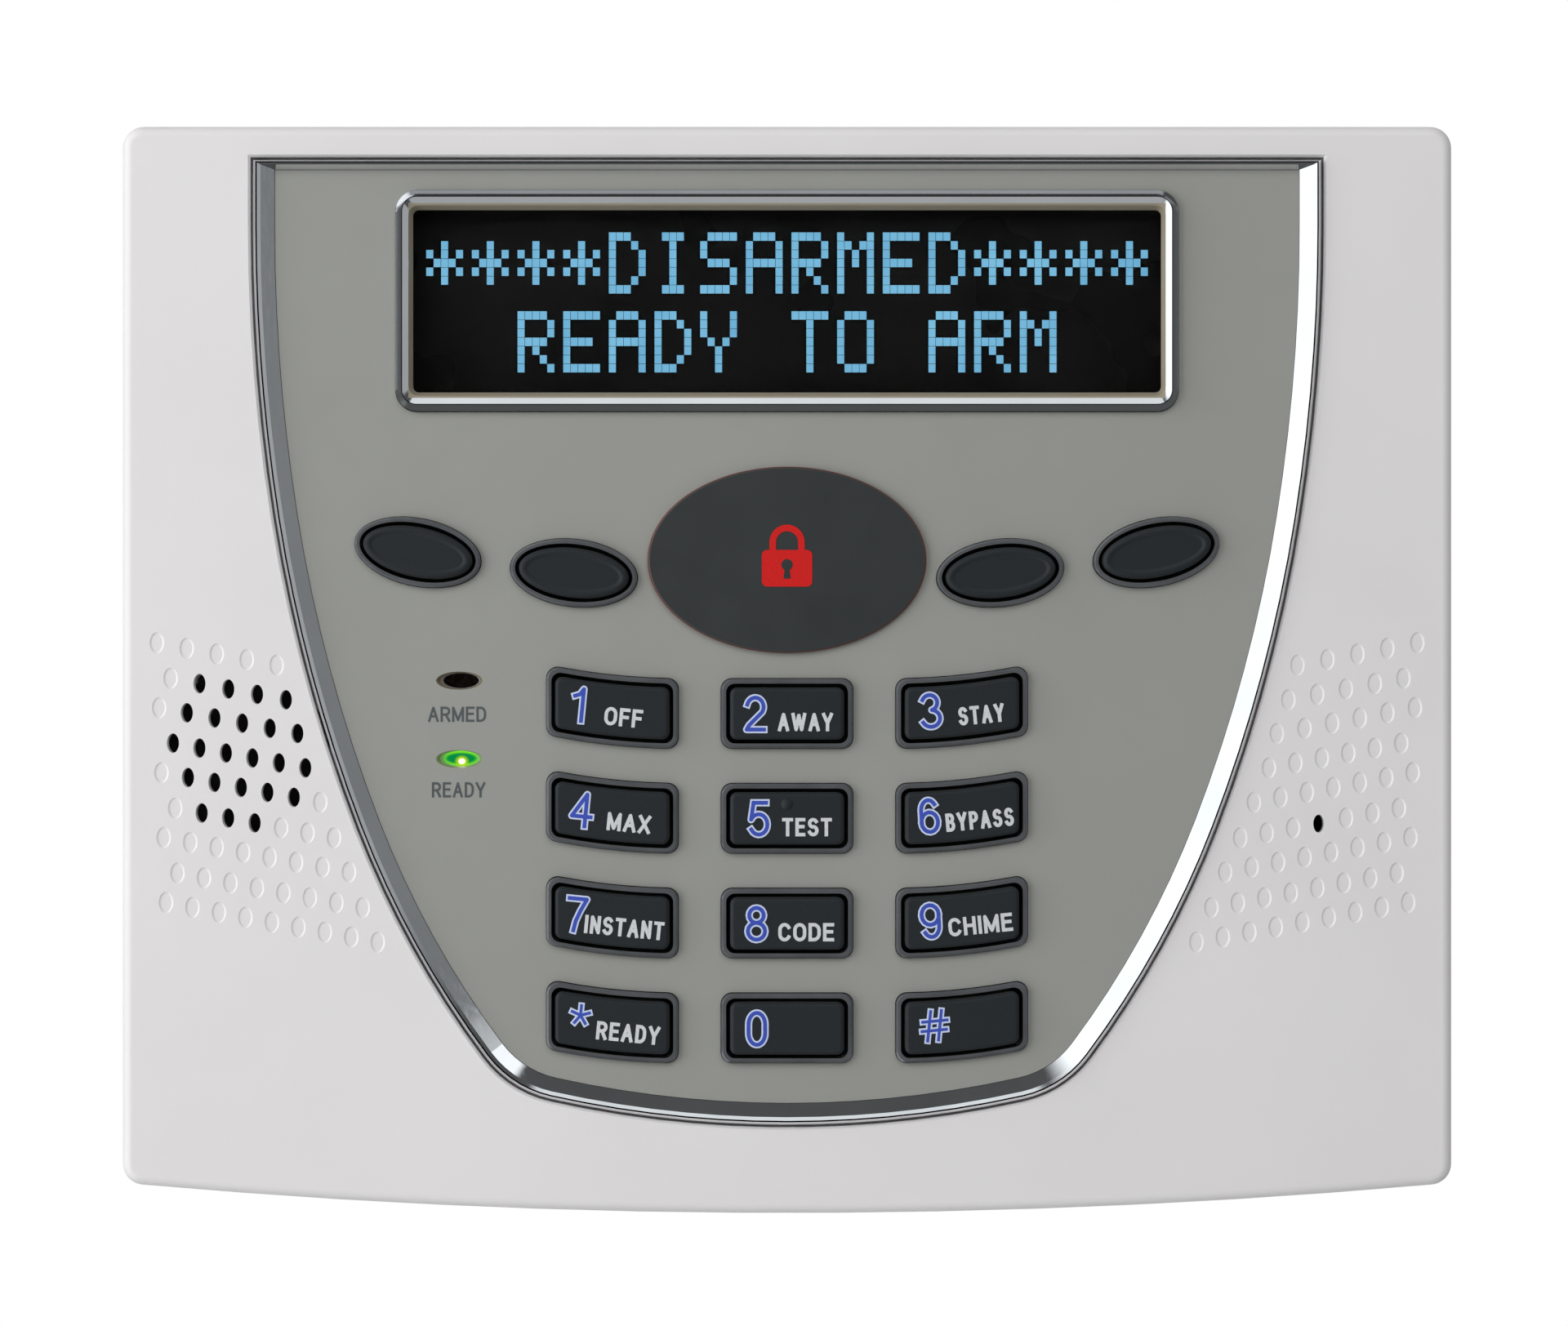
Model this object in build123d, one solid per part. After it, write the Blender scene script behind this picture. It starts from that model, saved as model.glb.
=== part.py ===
import math
import os

from build123d import *

# Wall-mounted alarm keypad panel, in millimetres.
#
# Every piece is drawn in a flat working frame: X to the right, Y up the wall and Z out from the
# wall (the depth). save() turns it upright, so that in the finished part +Z is up, the wall is the
# plane Y = 0 and the keys face -Y. The origin is the centre of the four wall screws.

# ---------------------------------------------------------------- case
CASE_W = 174.0
CASE_TOP = 71.15
CASE_LOW = -71.15          # lowest point of the bowed bottom edge
CASE_SIDE_LOW = -67.2      # where the bottom edge meets the sides
CASE_CORNER_R = 2.8
CASE_EDGE_R = 1.3
CASE_WALL = 2.2
CASE_FRONT = 26.0          # depth of the flat front
FRONT_WALL = 2.4
COVER_BACK = 1.0           # the cover's rear edge stands this far off the wall

# ---------------------------------------------------------------- shield-shaped recess
SHIELD_HALF_W = 70.2
SHIELD_TOP = 67.1
SHIELD_STRAIGHT_END = 58.0                       # the sides run straight down to here
SHIELD_ARCS = [(245.0, 9.0), (200.0, 21.0), (125.0, 36.8), (15.0, 77.5)]   # radius, turn from vertical
FLOOR_BACK = 21.2
FLOOR_FRONT = 23.2
RECESS_WALL = 2.0
RECESS_EDGE = 0.3          # bevel round the mouth of the recess
TRIM_GAP = 0.4
TRIM_W = 2.7
TRIM_TOP_W = 1.2           # the ridge is narrower along the top
TRIM_CREST = 26.7
TRIM_BROW = 26.5           # where the gentle brow turns into the steep inner slope
PANEL_FRONT = 25.2
SLIP = 0.1                 # gap between a fitted piece and its seat

# ---------------------------------------------------------------- display
DISPLAY_Z = 48.3
BEZEL_W = 102.4
BEZEL_H = 28.9
BEZEL_R = 2.8
BEZEL_CREST = 26.6
BEZEL_SLOPE_W = 0.8
BEZEL_CREST_W = 0.12
BEZEL_LIP = 26.15          # where the gentle inner slope meets the window's flared wall
WINDOW_FLARE = 0.5         # the window widens this much toward the front, all round
WINDOW_W = 98.0
WINDOW_H = 23.9
WINDOW_R = 0.8
LENS_W = 101.0
LENS_H = 27.4
LENS_FRONT = 24.6
LCD_FRAME_W = 103.0
LCD_FRAME_H = 27.6
LCD_FRAME_FRONT = 20.8
LCD_FRAME_SHEET = 0.5
LCD_GLASS_BACK = 18.2
LCD_BOARD_W = 116.0
LCD_BOARD_LOW = 30.2
LCD_BOARD_TOP = 66.2

# ---------------------------------------------------------------- keys
KEY_PITCH_X = 22.85
KEY_ROW_Z = -5.7           # centre of the top row
KEY_PITCH_Z = 13.72
KEY_W = 14.9
KEY_H = 6.8
KEY_R = 0.9
KEY_EDGE_R = 0.5
KEY_FRONT = 26.9
KEY_GAP = 0.52             # key to collar, all round
COLLAR_W = 0.63
COLLAR_FRONT = 26.2
COLLAR_BEVEL = 0.28
DOT_R = 1.2                # raised locating dot on the 5, part of a ball this big
DOT_RISE = 0.3
ROW_ARC_R = 85.0           # the outer keys follow this arc up and outward
ROW_ARC_START = 14.0       # where the arc leaves the straight middle of the row
FLANGE_BACK = 19.4
FLANGE_FRONT = 20.6
FLANGE_LEDGE = 1.1         # how far the flange reaches past the cap
PLUNGER_R = 2.2
PLUNGER_BACK = 17.3
KEY_NAMES = [["1", "2", "3"], ["4", "5", "6"], ["7", "8", "9"], ["star", "0", "pound"]]
# centre x, centre z and tilt of each oval function key
FUNCTION_KEYS = {
    "a": (-48.3, 15.4, -11.5),
    "b": (-27.9, 12.7, -6.5),
    "c": (27.9, 12.7, 6.5),
    "d": (48.3, 15.4, 11.5),
}
OVAL_KEY_A = 7.2
OVAL_KEY_B = 3.25
OVAL_EDGE_R = 0.55
DISH_MOUTH = 0.75          # the hollow in an oval key starts this far in from its edge
DISH_DEPTH = 0.15

# ---------------------------------------------------------------- emblem and status lamps
EMBLEM_Z = 14.4
EMBLEM_A = 18.25
EMBLEM_B = 12.2
EMBLEM_FRONT = 26.0
EMBLEM_EDGE_R = 0.3
LAMP_X = -42.9
LAMP_Z = {"armed": -1.4, "ready": -11.65}
LAMP_A = 3.05              # the lamp's well narrows from this oval at the panel's front
LAMP_B = 1.2
PIPE_A = 2.2               # to the light pipe's at its foot
PIPE_B = 0.88
PIPE_FRONT = 21.8
PIPE_FLANGE = 0.6
PIPE_FLANGE_T = 0.4
LED_R = 1.5
LED_BASE_R = 1.9
LED_BASE_H = 1.0
LED_DOME_BASE = 3.0

# ---------------------------------------------------------------- grille
GRILLE_ROWS = 9
GRILLE_X = 82.4            # outermost oval of the top row
GRILLE_Z = 3.56
GRILLE_ROW_STEP = 4.245
GRILLE_PITCH = 3.46
GRILLE_SLOPE = 0.187       # each row falls this much per mm toward the middle
SOUND_HOLE_A = 0.8
SOUND_HOLE_B = 1.28
SPEAKER_X = -71.2
SPEAKER_Z = -10.9
SOUND_FIELD_R = 10.8       # ovals this near the speaker's centre are pierced
DIMPLE_A = 0.95
DIMPLE_B = 1.4
DIMPLE_EDGE_W = 0.24       # width of a dimple's sloping edge
DIMPLE_DEPTH = 0.14
MIC_X = 69.5
MIC_Z = -20.1
MIC_HOLE_A = 0.7
MIC_HOLE_B = 1.18

# ---------------------------------------------------------------- inner pieces
BOARD_BACK = 14.2
BOARD_FRONT = 15.8
BOARD_LEFT = -56.0
BOARD_RIGHT = 78.0
BOARD_LOW = -58.0
BOARD_TOP = 28.6
MAT_FRONT = 16.8
MAT_COLLAR_FRONT = 17.8
BOARD_SCREWS = [(-50.0, 25.6), (70.0, 25.6), (-42.0, -52.0), (58.0, -42.0)]
LCD_SCREWS = [(-55.2, 33.4), (55.2, 33.4), (-55.2, 63.0), (55.2, 63.0)]
BOSS_R = 2.4
PILOT_R = 1.15
SCREW_HEAD_R = 2.6
SCREW_HEAD_H = 1.6
SCREW_HEAD_EDGE = 0.8
SCREW_SLOT_L = 2.6
SCREW_SLOT_W = 0.6
SCREW_SLOT_DEPTH = 0.9
SCREW_LENGTH = 6.0
SPEAKER_R = 13.2
SPEAKER_FLANGE_BACK = 19.4
SPEAKER_FLANGE_FRONT = 20.2
SPEAKER_BOWL_BACK = 15.6
SPEAKER_SHEET = 0.6
SPEAKER_SCREW_OFFSET = 16.2
SPEAKER_SCREW_HEAD_R = 3.4
SPEAKER_SCREW_LENGTH = 4.0
SPEAKER_POLES = 2.0        # each lead's distance from the speaker's middle height
MAGNET_R = 7.0
MAGNET_T = 3.4
MAGNET_PLATE_R = 6.2
MAGNET_PLATE_T = 0.8
LEAD_R = 0.6
LEAD_DEPTH = 11.2          # depth at which the leads run behind the board
LEAD_BEND_R = 2.4
SOCKET_LEFT = -52.0
SOCKET_SIZE = 6.0
TERMINALS = 4
TERMINAL_PITCH = 5.0
TERMINAL_X = -10.0
TERMINAL_Z = -12.0
TERMINAL_HALF_H = 4.5
TERMINAL_BACK = 5.2
TERMINAL_SCREW_R = 1.7
TERMINAL_SCREW_Z = TERMINAL_Z + 1.0
JUMPERS = 16
JUMPER_PITCH = 2.54
JUMPER_PIN = 0.6
JUMPER_X = -40.0
JUMPER_RISE = 1.6
CAPACITORS = 3
CAPACITOR_PITCH = 9.0
CAPACITOR_X = 44.0
CAPACITOR_Z = 12.0
CAPACITOR_R = 3.15
CAPACITOR_L = 7.0
CRYSTAL_X = -24.0
CRYSTAL_Z = -36.0
MIC_CAPSULE_R = 2.95
MIC_BOOT_R = 4.6

# ---------------------------------------------------------------- wall plate
PLATE_T = 2.5
PLATE_INSET = 2.8          # drawn in from the case outline, clear of the cover's walls
WALL_SCREW_X = 120.0
WALL_SCREW_Z = 90.0
WALL_SCREW_R = 2.1
WALL_SLOT_L = 9.0
GANG_BOX_PITCH = 83.3
WIRE_OPENING_W = 56.0
WIRE_OPENING_H = 50.0
RIM_W = 1.5
RIM_FRONT = 4.4
EDGE_RIB_X = 80.0
EDGE_RIB_T = 1.5
EDGE_RIB_FRONT = 6.0
HOOK_X = 50.0
HOOK_W = 14.0
HOOK_BACK = 4.0
HOOK_FRONT = 5.5
HOOK_TOP = 70.1
TAB_X = 36.0
TAB_W = 12.0
TAB_LOW = -65.6
TAB_T = 1.6
TAB_FRONT = 7.0


def save(name, shape):
    """Turn a piece from the flat working frame to the upright frame and write it."""
    export_step(Rot(X=90) * shape, f"parts/{name}.step")


def plate(sketch, back, front):
    """A straight-sided solid between two depths."""
    return Pos(0, 0, back) * extrude(sketch, front - back)


def sloped(back_sketch, back, front_sketch, front):
    """A straight-ruled solid from one outline to another of the same make."""
    return loft([Pos(0, 0, back) * back_sketch, Pos(0, 0, front) * front_sketch], ruled=True)


def post(x, z, radius, back, front):
    """A round post between two depths."""
    return plate(Pos(x, z) * Circle(radius), back, front)


def block(x0, x1, z0, z1, back, front):
    """A square-edged block between two corners and two depths."""
    centre = Pos((x0 + x1) / 2, (z0 + z1) / 2)
    return plate(centre * Rectangle(x1 - x0, z1 - z0), back, front)


def group(pieces):
    """Several separate solids of one node."""
    return Compound([solid for piece in pieces for solid in piece.solids()])


def front_edges(solid):
    """The outer edges of the face that stands furthest from the wall."""
    return solid.faces().sort_by(Axis.Z)[-1].outer_wire().edges()


# ---------------------------------------------------------------- outlines
def case_outline(inset=0.0):
    """The case from the front: straight top and sides, bowed bottom, small corners."""
    half = CASE_W / 2 - inset
    top = CASE_TOP - inset
    side_low = CASE_SIDE_LOW + inset
    low = CASE_LOW + inset
    edges = [
        Line((-half, top), (half, top)),
        Line((half, top), (half, side_low)),
        ThreePointArc((half, side_low), (0, low), (-half, side_low)),
        Line((-half, side_low), (-half, top)),
    ]
    face = make_face(edges)
    return fillet(face.vertices(), max(CASE_CORNER_R - inset, 0.6))


def shield_outline(inset=0.0, top_inset=None):
    """The recess from the front: a flat top, sides that curve in, a shallow bowl at the bottom.

    Each side is a chain of tangent arcs, and the bottom arc's radius closes the chain.
    """
    if top_inset is None:
        top_inset = inset
    top = SHIELD_TOP - top_inset
    x = SHIELD_HALF_W
    z = SHIELD_STRAIGHT_END
    right = [Line((x - inset, top), (x - inset, z))]
    turn = 0.0
    for radius, end in SHIELD_ARCS:
        a = math.radians(turn)
        b = math.radians(end)
        centre_x = x - radius * math.cos(a)
        centre_z = z + radius * math.sin(a)
        right.append(CenterArc((centre_x, centre_z), radius - inset, -turn, turn - end))
        x = centre_x + radius * math.cos(b)
        z = centre_z - radius * math.sin(b)
        turn = end
    bottom_r = x / math.cos(math.radians(turn))
    centre_z = z + bottom_r * math.sin(math.radians(turn))
    bottom = CenterArc((0, centre_z), bottom_r - inset, -turn, 2 * turn - 180)
    left = [mirror(edge, about=Plane.YZ) for edge in right]
    lid = Line((inset - SHIELD_HALF_W, top), (SHIELD_HALF_W - inset, top))
    return make_face([lid, *right, bottom, *left])


def row_rise(x):
    """How far a key row has risen at x, on its arc outside the straight middle."""
    out = max(abs(x) - ROW_ARC_START, 0.0)
    return ROW_ARC_R - math.sqrt(ROW_ARC_R**2 - out**2)


def key_outline(column, row, grow=0.0):
    """A number key from the front, grown all round by grow. Columns are -1, 0 and 1."""
    centre_x = column * KEY_PITCH_X
    centre_z = KEY_ROW_Z - row * KEY_PITCH_Z
    half_w = KEY_W / 2 + grow
    half_h = KEY_H / 2 + grow
    radius = KEY_R + grow / 2
    if column == 0:
        return Pos(centre_x, centre_z) * RectangleRounded(2 * half_w, 2 * half_h, radius)
    xs = [centre_x - half_w, centre_x, centre_x + half_w]
    top = [(x, centre_z + half_h + row_rise(x)) for x in xs]
    low = [(x, centre_z - half_h + row_rise(x)) for x in xs]
    edges = [
        ThreePointArc(*top),
        Line(top[2], low[2]),
        ThreePointArc(*reversed(low)),
        Line(low[0], top[0]),
    ]
    return fillet(make_face(edges).vertices(), radius)


def oval_key_outline(letter, grow=0.0):
    """A function key from the front, grown all round by grow."""
    x, z, tilt = FUNCTION_KEYS[letter]
    return Pos(x, z) * Rot(Z=tilt) * Ellipse(OVAL_KEY_A + grow, OVAL_KEY_B + grow)


def lamp_outline(name):
    """A status lamp's oval at the panel's front."""
    return Pos(LAMP_X, LAMP_Z[name]) * Ellipse(LAMP_A, LAMP_B)


def pipe_outline(name, grow=0.0):
    """A light pipe's smaller oval, at the foot of its well."""
    return Pos(LAMP_X, LAMP_Z[name]) * Ellipse(PIPE_A + grow, PIPE_B + grow)


def lamp_well(name):
    """The funnel cut through panel and floor, from the lamp's oval down to its light pipe's."""
    funnel = sloped(pipe_outline(name, SLIP), FLOOR_BACK + 0.4, lamp_outline(name), PANEL_FRONT)
    return funnel + plate(pipe_outline(name, SLIP), FLOOR_BACK - 1, FLOOR_BACK + 0.4)


def display_outline(width, height, radius):
    """A rounded rectangle about the display's centre."""
    return Pos(0, DISPLAY_Z) * RectangleRounded(width, height, radius)


def number_keys():
    """Every number key as its name, column and row."""
    for row, names in enumerate(KEY_NAMES):
        for column, name in zip((-1, 0, 1), names):
            yield name, column, row


def all_key_outlines(grow):
    """The outlines of all sixteen keys."""
    numbers = [key_outline(column, row, grow) for _, column, row in number_keys()]
    ovals = [oval_key_outline(letter, grow) for letter in FUNCTION_KEYS]
    return numbers + ovals


def key_centres():
    """The centre of every key, where its plunger stands."""
    for _, column, row in number_keys():
        x = column * KEY_PITCH_X
        yield x, KEY_ROW_Z - row * KEY_PITCH_Z + row_rise(x)
    for x, z, _ in FUNCTION_KEYS.values():
        yield x, z


def grille_places():
    """The ovals on the right side, row by row from the outer edge inward."""
    for row in range(GRILLE_ROWS):
        odd = row % 2
        first_x = GRILLE_X - 0.15 * row - 1.65 * odd
        first_z = GRILLE_Z - GRILLE_ROW_STEP * row - 0.4 * odd
        pitch = GRILLE_PITCH * (1 + 0.044 * max(3 - row, 0))
        for i in range(5 + row // 2):
            yield first_x - pitch * i, first_z - GRILLE_SLOPE * pitch * i


# ---------------------------------------------------------------- case pieces
def dimple_tool():
    """The shallow flat-bottomed bite of one dimple, with a sloping edge all round."""
    mouth = Ellipse(DIMPLE_A, DIMPLE_B)
    floor = Ellipse(DIMPLE_A - DIMPLE_EDGE_W, DIMPLE_B - DIMPLE_EDGE_W)
    return sloped(floor, -DIMPLE_DEPTH, mouth, 0) + plate(mouth, 0, 0.2)


def grille_cutters():
    """Sound holes by the speaker, one hole at the microphone, and dimples everywhere else."""
    tool = dimple_tool()
    holes = [Pos(MIC_X, MIC_Z) * Ellipse(MIC_HOLE_A, MIC_HOLE_B)]
    dimples = []
    for x, z in grille_places():
        if math.hypot(x + SPEAKER_X, z - SPEAKER_Z) < SOUND_FIELD_R:
            holes.append(Pos(-x, z) * Ellipse(SOUND_HOLE_A, SOUND_HOLE_B))
        else:
            dimples.append(Pos(-x, z, CASE_FRONT) * tool)
        if math.hypot(x - MIC_X, z - MIC_Z) > 1.0:
            dimples.append(Pos(x, z, CASE_FRONT) * tool)
    pierce = [plate(hole, FLOOR_BACK - 1, CASE_FRONT + 1) for hole in holes]
    return pierce + dimples


def make_front_cover():
    """White front shell: side walls, front, recessed floor, bosses and openings."""
    body = plate(case_outline(), COVER_BACK, CASE_FRONT)
    body = fillet(front_edges(body), CASE_EDGE_R)
    hollow = plate(case_outline(CASE_WALL), COVER_BACK - 1, CASE_FRONT - FRONT_WALL)
    body -= hollow
    inside = plate(case_outline(CASE_WALL / 2), COVER_BACK, CASE_FRONT - 1)
    recess_back = plate(shield_outline(-RECESS_WALL), FLOOR_BACK, CASE_FRONT - 1)
    speaker_wall = post(SPEAKER_X, SPEAKER_Z, SPEAKER_R - 0.2, FLOOR_BACK - 0.4, CASE_FRONT - 1)
    body += (recess_back + speaker_wall) & inside
    for x, z in BOARD_SCREWS + LCD_SCREWS:
        body += post(x, z, BOSS_R, BOARD_FRONT, CASE_FRONT - 1)
    for side in (-1, 1):
        z = SPEAKER_Z + side * SPEAKER_SCREW_OFFSET
        body += post(SPEAKER_X, z, BOSS_R, SPEAKER_FLANGE_BACK, CASE_FRONT - 1)
        body -= post(SPEAKER_X, z, PILOT_R, SPEAKER_FLANGE_BACK - 1, FLOOR_BACK + 2.6)
    cuts = [plate(shield_outline(), FLOOR_FRONT, CASE_FRONT + 1)]
    cuts.append(sloped(shield_outline(), CASE_FRONT - RECESS_EDGE, shield_outline(-RECESS_EDGE), CASE_FRONT))
    cuts.append(post(SPEAKER_X, SPEAKER_Z, SPEAKER_R - 2.0, FLOOR_BACK - 1, CASE_FRONT - FRONT_WALL))
    opening = display_outline(WINDOW_W + 1.2, WINDOW_H + 1.2, WINDOW_R)
    cuts.append(plate(opening, FLOOR_BACK - 1, FLOOR_FRONT + 1))
    for outline in all_key_outlines(KEY_GAP + 0.1):
        cuts.append(plate(outline, FLOOR_BACK - 1, FLOOR_FRONT + 1))
    for name in LAMP_Z:
        cuts.append(lamp_well(name))
    for x, z in BOARD_SCREWS + LCD_SCREWS:
        cuts.append(post(x, z, PILOT_R, BOARD_FRONT - 1, FLOOR_BACK))
    for side in (-1, 1):
        x = side * HOOK_X
        slot_half = HOOK_W / 2 + 1
        cuts.append(block(x - slot_half, x + slot_half, CASE_TOP - 4, CASE_TOP + 1, 2.9, 7.1))
    body -= cuts
    return body - grille_cutters()


def make_chrome_trim():
    """Bright ridge round the recess: thin outer slope, narrow crest, gentle brow, broad inner slope."""
    shoulder = CASE_FRONT + 0.1
    lip = PANEL_FRONT + 0.1
    rim = shield_outline(TRIM_GAP)
    crest = shield_outline(TRIM_GAP + 0.35, TRIM_GAP + 0.25)
    crest_inside = shield_outline(TRIM_GAP + 0.55, TRIM_GAP + 0.4)
    brow = shield_outline(TRIM_GAP + 1.0, TRIM_GAP + 0.65)
    mouth = shield_outline(TRIM_GAP + TRIM_W, TRIM_GAP + TRIM_TOP_W)
    ridge = plate(rim, FLOOR_FRONT, shoulder) + sloped(rim, shoulder, crest, TRIM_CREST)
    ridge -= plate(mouth, FLOOR_FRONT - 1, TRIM_CREST + 1)
    ridge -= sloped(mouth, lip, brow, TRIM_BROW)
    return ridge - sloped(brow, TRIM_BROW, crest_inside, TRIM_CREST)


def make_face_panel():
    """Grey face panel with its openings for display, keys and lamps."""
    inset = TRIM_GAP + TRIM_W + SLIP / 2
    top_inset = TRIM_GAP + TRIM_TOP_W + SLIP / 2
    panel = plate(shield_outline(inset, top_inset), FLOOR_FRONT, PANEL_FRONT)
    bezel = display_outline(BEZEL_W + 2 * SLIP, BEZEL_H + 2 * SLIP, BEZEL_R + SLIP)
    cuts = [plate(bezel, FLOOR_FRONT - 1, PANEL_FRONT + 1)]
    for outline in all_key_outlines(KEY_GAP + COLLAR_W + SLIP):
        cuts.append(plate(outline, FLOOR_FRONT - 1, PANEL_FRONT + 1))
    cuts += [lamp_well(name) for name in LAMP_Z]
    return panel - cuts


def make_display_bezel():
    """Bright raised frame round the display, hollowed toward the window and rebated behind for the lens."""
    shoulder = PANEL_FRONT + 0.7
    outline = display_outline(BEZEL_W, BEZEL_H, BEZEL_R)
    slope = 2 * BEZEL_SLOPE_W
    crest = display_outline(BEZEL_W - slope, BEZEL_H - slope, BEZEL_R - BEZEL_SLOPE_W)
    frame = plate(outline, FLOOR_FRONT, shoulder) + sloped(outline, shoulder, crest, BEZEL_CREST)
    window = display_outline(WINDOW_W, WINDOW_H, WINDOW_R)
    flare = 2 * WINDOW_FLARE
    mouth = display_outline(WINDOW_W + flare, WINDOW_H + flare, WINDOW_R + WINDOW_FLARE)
    rebate = display_outline(LENS_W + 2 * SLIP, LENS_H + 2 * SLIP, WINDOW_R)
    frame -= plate(window, FLOOR_FRONT - 1, TRIM_CREST + 1)
    frame -= sloped(window, LENS_FRONT + 0.2, mouth, BEZEL_LIP)
    slope += 2 * BEZEL_CREST_W
    crest_r = BEZEL_R - BEZEL_SLOPE_W - BEZEL_CREST_W
    crest_inside = display_outline(BEZEL_W - slope, BEZEL_H - slope, crest_r)
    frame -= sloped(mouth, BEZEL_LIP, crest_inside, BEZEL_CREST)
    return frame - plate(rebate, FLOOR_FRONT - 1, LENS_FRONT)


def make_display_window():
    """Clear lens, held against the recess floor by the bezel."""
    return plate(display_outline(LENS_W, LENS_H, WINDOW_R), FLOOR_FRONT, LENS_FRONT)


def make_emblem_plate():
    """Oval dark plate with a softened edge, stuck on the face panel."""
    body = plate(Pos(0, EMBLEM_Z) * Ellipse(EMBLEM_A, EMBLEM_B), PANEL_FRONT, EMBLEM_FRONT)
    return fillet(front_edges(body), EMBLEM_EDGE_R)


def make_collar(outline):
    """One raised key collar. outline(grow) gives the key's outline grown all round."""
    ring = plate(outline(KEY_GAP + COLLAR_W), FLOOR_FRONT, COLLAR_FRONT)
    ring = chamfer(front_edges(ring), COLLAR_BEVEL)
    return ring - plate(outline(KEY_GAP), FLOOR_FRONT - 1, COLLAR_FRONT + 1)


def make_number_key_collars():
    """The twelve collars of the number keys."""
    rings = []
    for _, column, row in number_keys():
        rings.append(make_collar(lambda grow: key_outline(column, row, grow)))
    return group(rings)


def make_function_key_collars():
    """The four collars of the oval keys."""
    rings = []
    for letter in FUNCTION_KEYS:
        rings.append(make_collar(lambda grow: oval_key_outline(letter, grow)))
    return group(rings)


def make_light_pipe(name):
    """Clear oval light pipe, flanged behind the recess floor."""
    flange = plate(pipe_outline(name, PIPE_FLANGE), FLOOR_BACK - PIPE_FLANGE_T, FLOOR_BACK)
    return flange + plate(pipe_outline(name), FLOOR_BACK, PIPE_FRONT)


# ---------------------------------------------------------------- keys
def make_key(outline, x, z, soften):
    """Rubber key: a cap, a flange that keeps it in, and a plunger over its contact."""
    cap = soften(plate(outline(0.0), FLANGE_FRONT, KEY_FRONT))
    flange = plate(outline(FLANGE_LEDGE), FLANGE_BACK, FLANGE_FRONT)
    return cap + flange + post(x, z, PLUNGER_R, PLUNGER_BACK, FLANGE_BACK)


def make_number_key(name, column, row):
    """A number key. The 5 carries the raised locating dot."""
    x = column * KEY_PITCH_X
    z = KEY_ROW_Z - row * KEY_PITCH_Z + row_rise(x)
    key = make_key(
        lambda grow: key_outline(column, row, grow), x, z, lambda cap: fillet(front_edges(cap), KEY_EDGE_R)
    )
    if name == "5":
        key += Pos(x, z + 1.9, KEY_FRONT + DOT_RISE - DOT_R) * Sphere(DOT_R)
    return key


def make_function_key(letter):
    """An oval key with a rounded edge and a shallow hollow in its face."""
    x, z, _ = FUNCTION_KEYS[letter]
    key = make_key(
        lambda grow: oval_key_outline(letter, grow), x, z, lambda cap: fillet(front_edges(cap), OVAL_EDGE_R)
    )
    floor = oval_key_outline(letter, -DISH_MOUTH - 3 * DISH_DEPTH)
    return key - sloped(floor, KEY_FRONT - DISH_DEPTH, oval_key_outline(letter, -DISH_MOUTH), KEY_FRONT)


def make_keypad_mat():
    """Rubber contact mat on the board, with a collar round each plunger."""
    sheet = Pos(0, -16) * RectangleRounded(68, 76, 3) + Pos(0, 15.4) * RectangleRounded(116, 14, 3)
    mat = plate(sheet, BOARD_FRONT, MAT_FRONT)
    for x, z in key_centres():
        mat += post(x, z, PLUNGER_R + 1.6, MAT_FRONT, MAT_COLLAR_FRONT)
    hole_r = PLUNGER_R + 0.6
    return mat - [post(x, z, hole_r, BOARD_FRONT - 1, MAT_COLLAR_FRONT + 1) for x, z in key_centres()]


# ---------------------------------------------------------------- display module
def lcd_outline(width, height):
    """A square-cornered rectangle about the display's centre."""
    return Pos(0, DISPLAY_Z) * Rectangle(width, height)


def make_lcd_frame():
    """Bent sheet frame that clamps the glass to its board."""
    can = plate(lcd_outline(LCD_FRAME_W, LCD_FRAME_H), BOARD_FRONT, LCD_FRAME_FRONT)
    inner = lcd_outline(LCD_FRAME_W - 2 * LCD_FRAME_SHEET, LCD_FRAME_H - 2 * LCD_FRAME_SHEET)
    can -= plate(inner, BOARD_FRONT - 1, LCD_FRAME_FRONT - LCD_FRAME_SHEET)
    return can - plate(lcd_outline(WINDOW_W + 1.4, WINDOW_H + 1.4), BOARD_FRONT, LCD_FRAME_FRONT + 1)


def make_lcd_glass():
    """Display glass under the frame's front lip."""
    outline = lcd_outline(LCD_FRAME_W - 1.6, LCD_FRAME_H - 1.6)
    return plate(outline, LCD_GLASS_BACK, LCD_FRAME_FRONT - LCD_FRAME_SHEET)


def make_lcd_backlight():
    """Light guide between the board and the glass."""
    return plate(lcd_outline(LCD_FRAME_W - 2.4, LCD_FRAME_H - 2.4), BOARD_FRONT, LCD_GLASS_BACK)


def make_lcd_board():
    """The display's own circuit board."""
    board = block(-LCD_BOARD_W / 2, LCD_BOARD_W / 2, LCD_BOARD_LOW, LCD_BOARD_TOP, BOARD_BACK, BOARD_FRONT)
    return board - [post(x, z, PILOT_R + 0.35, BOARD_BACK - 1, BOARD_FRONT + 1) for x, z in LCD_SCREWS]


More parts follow.
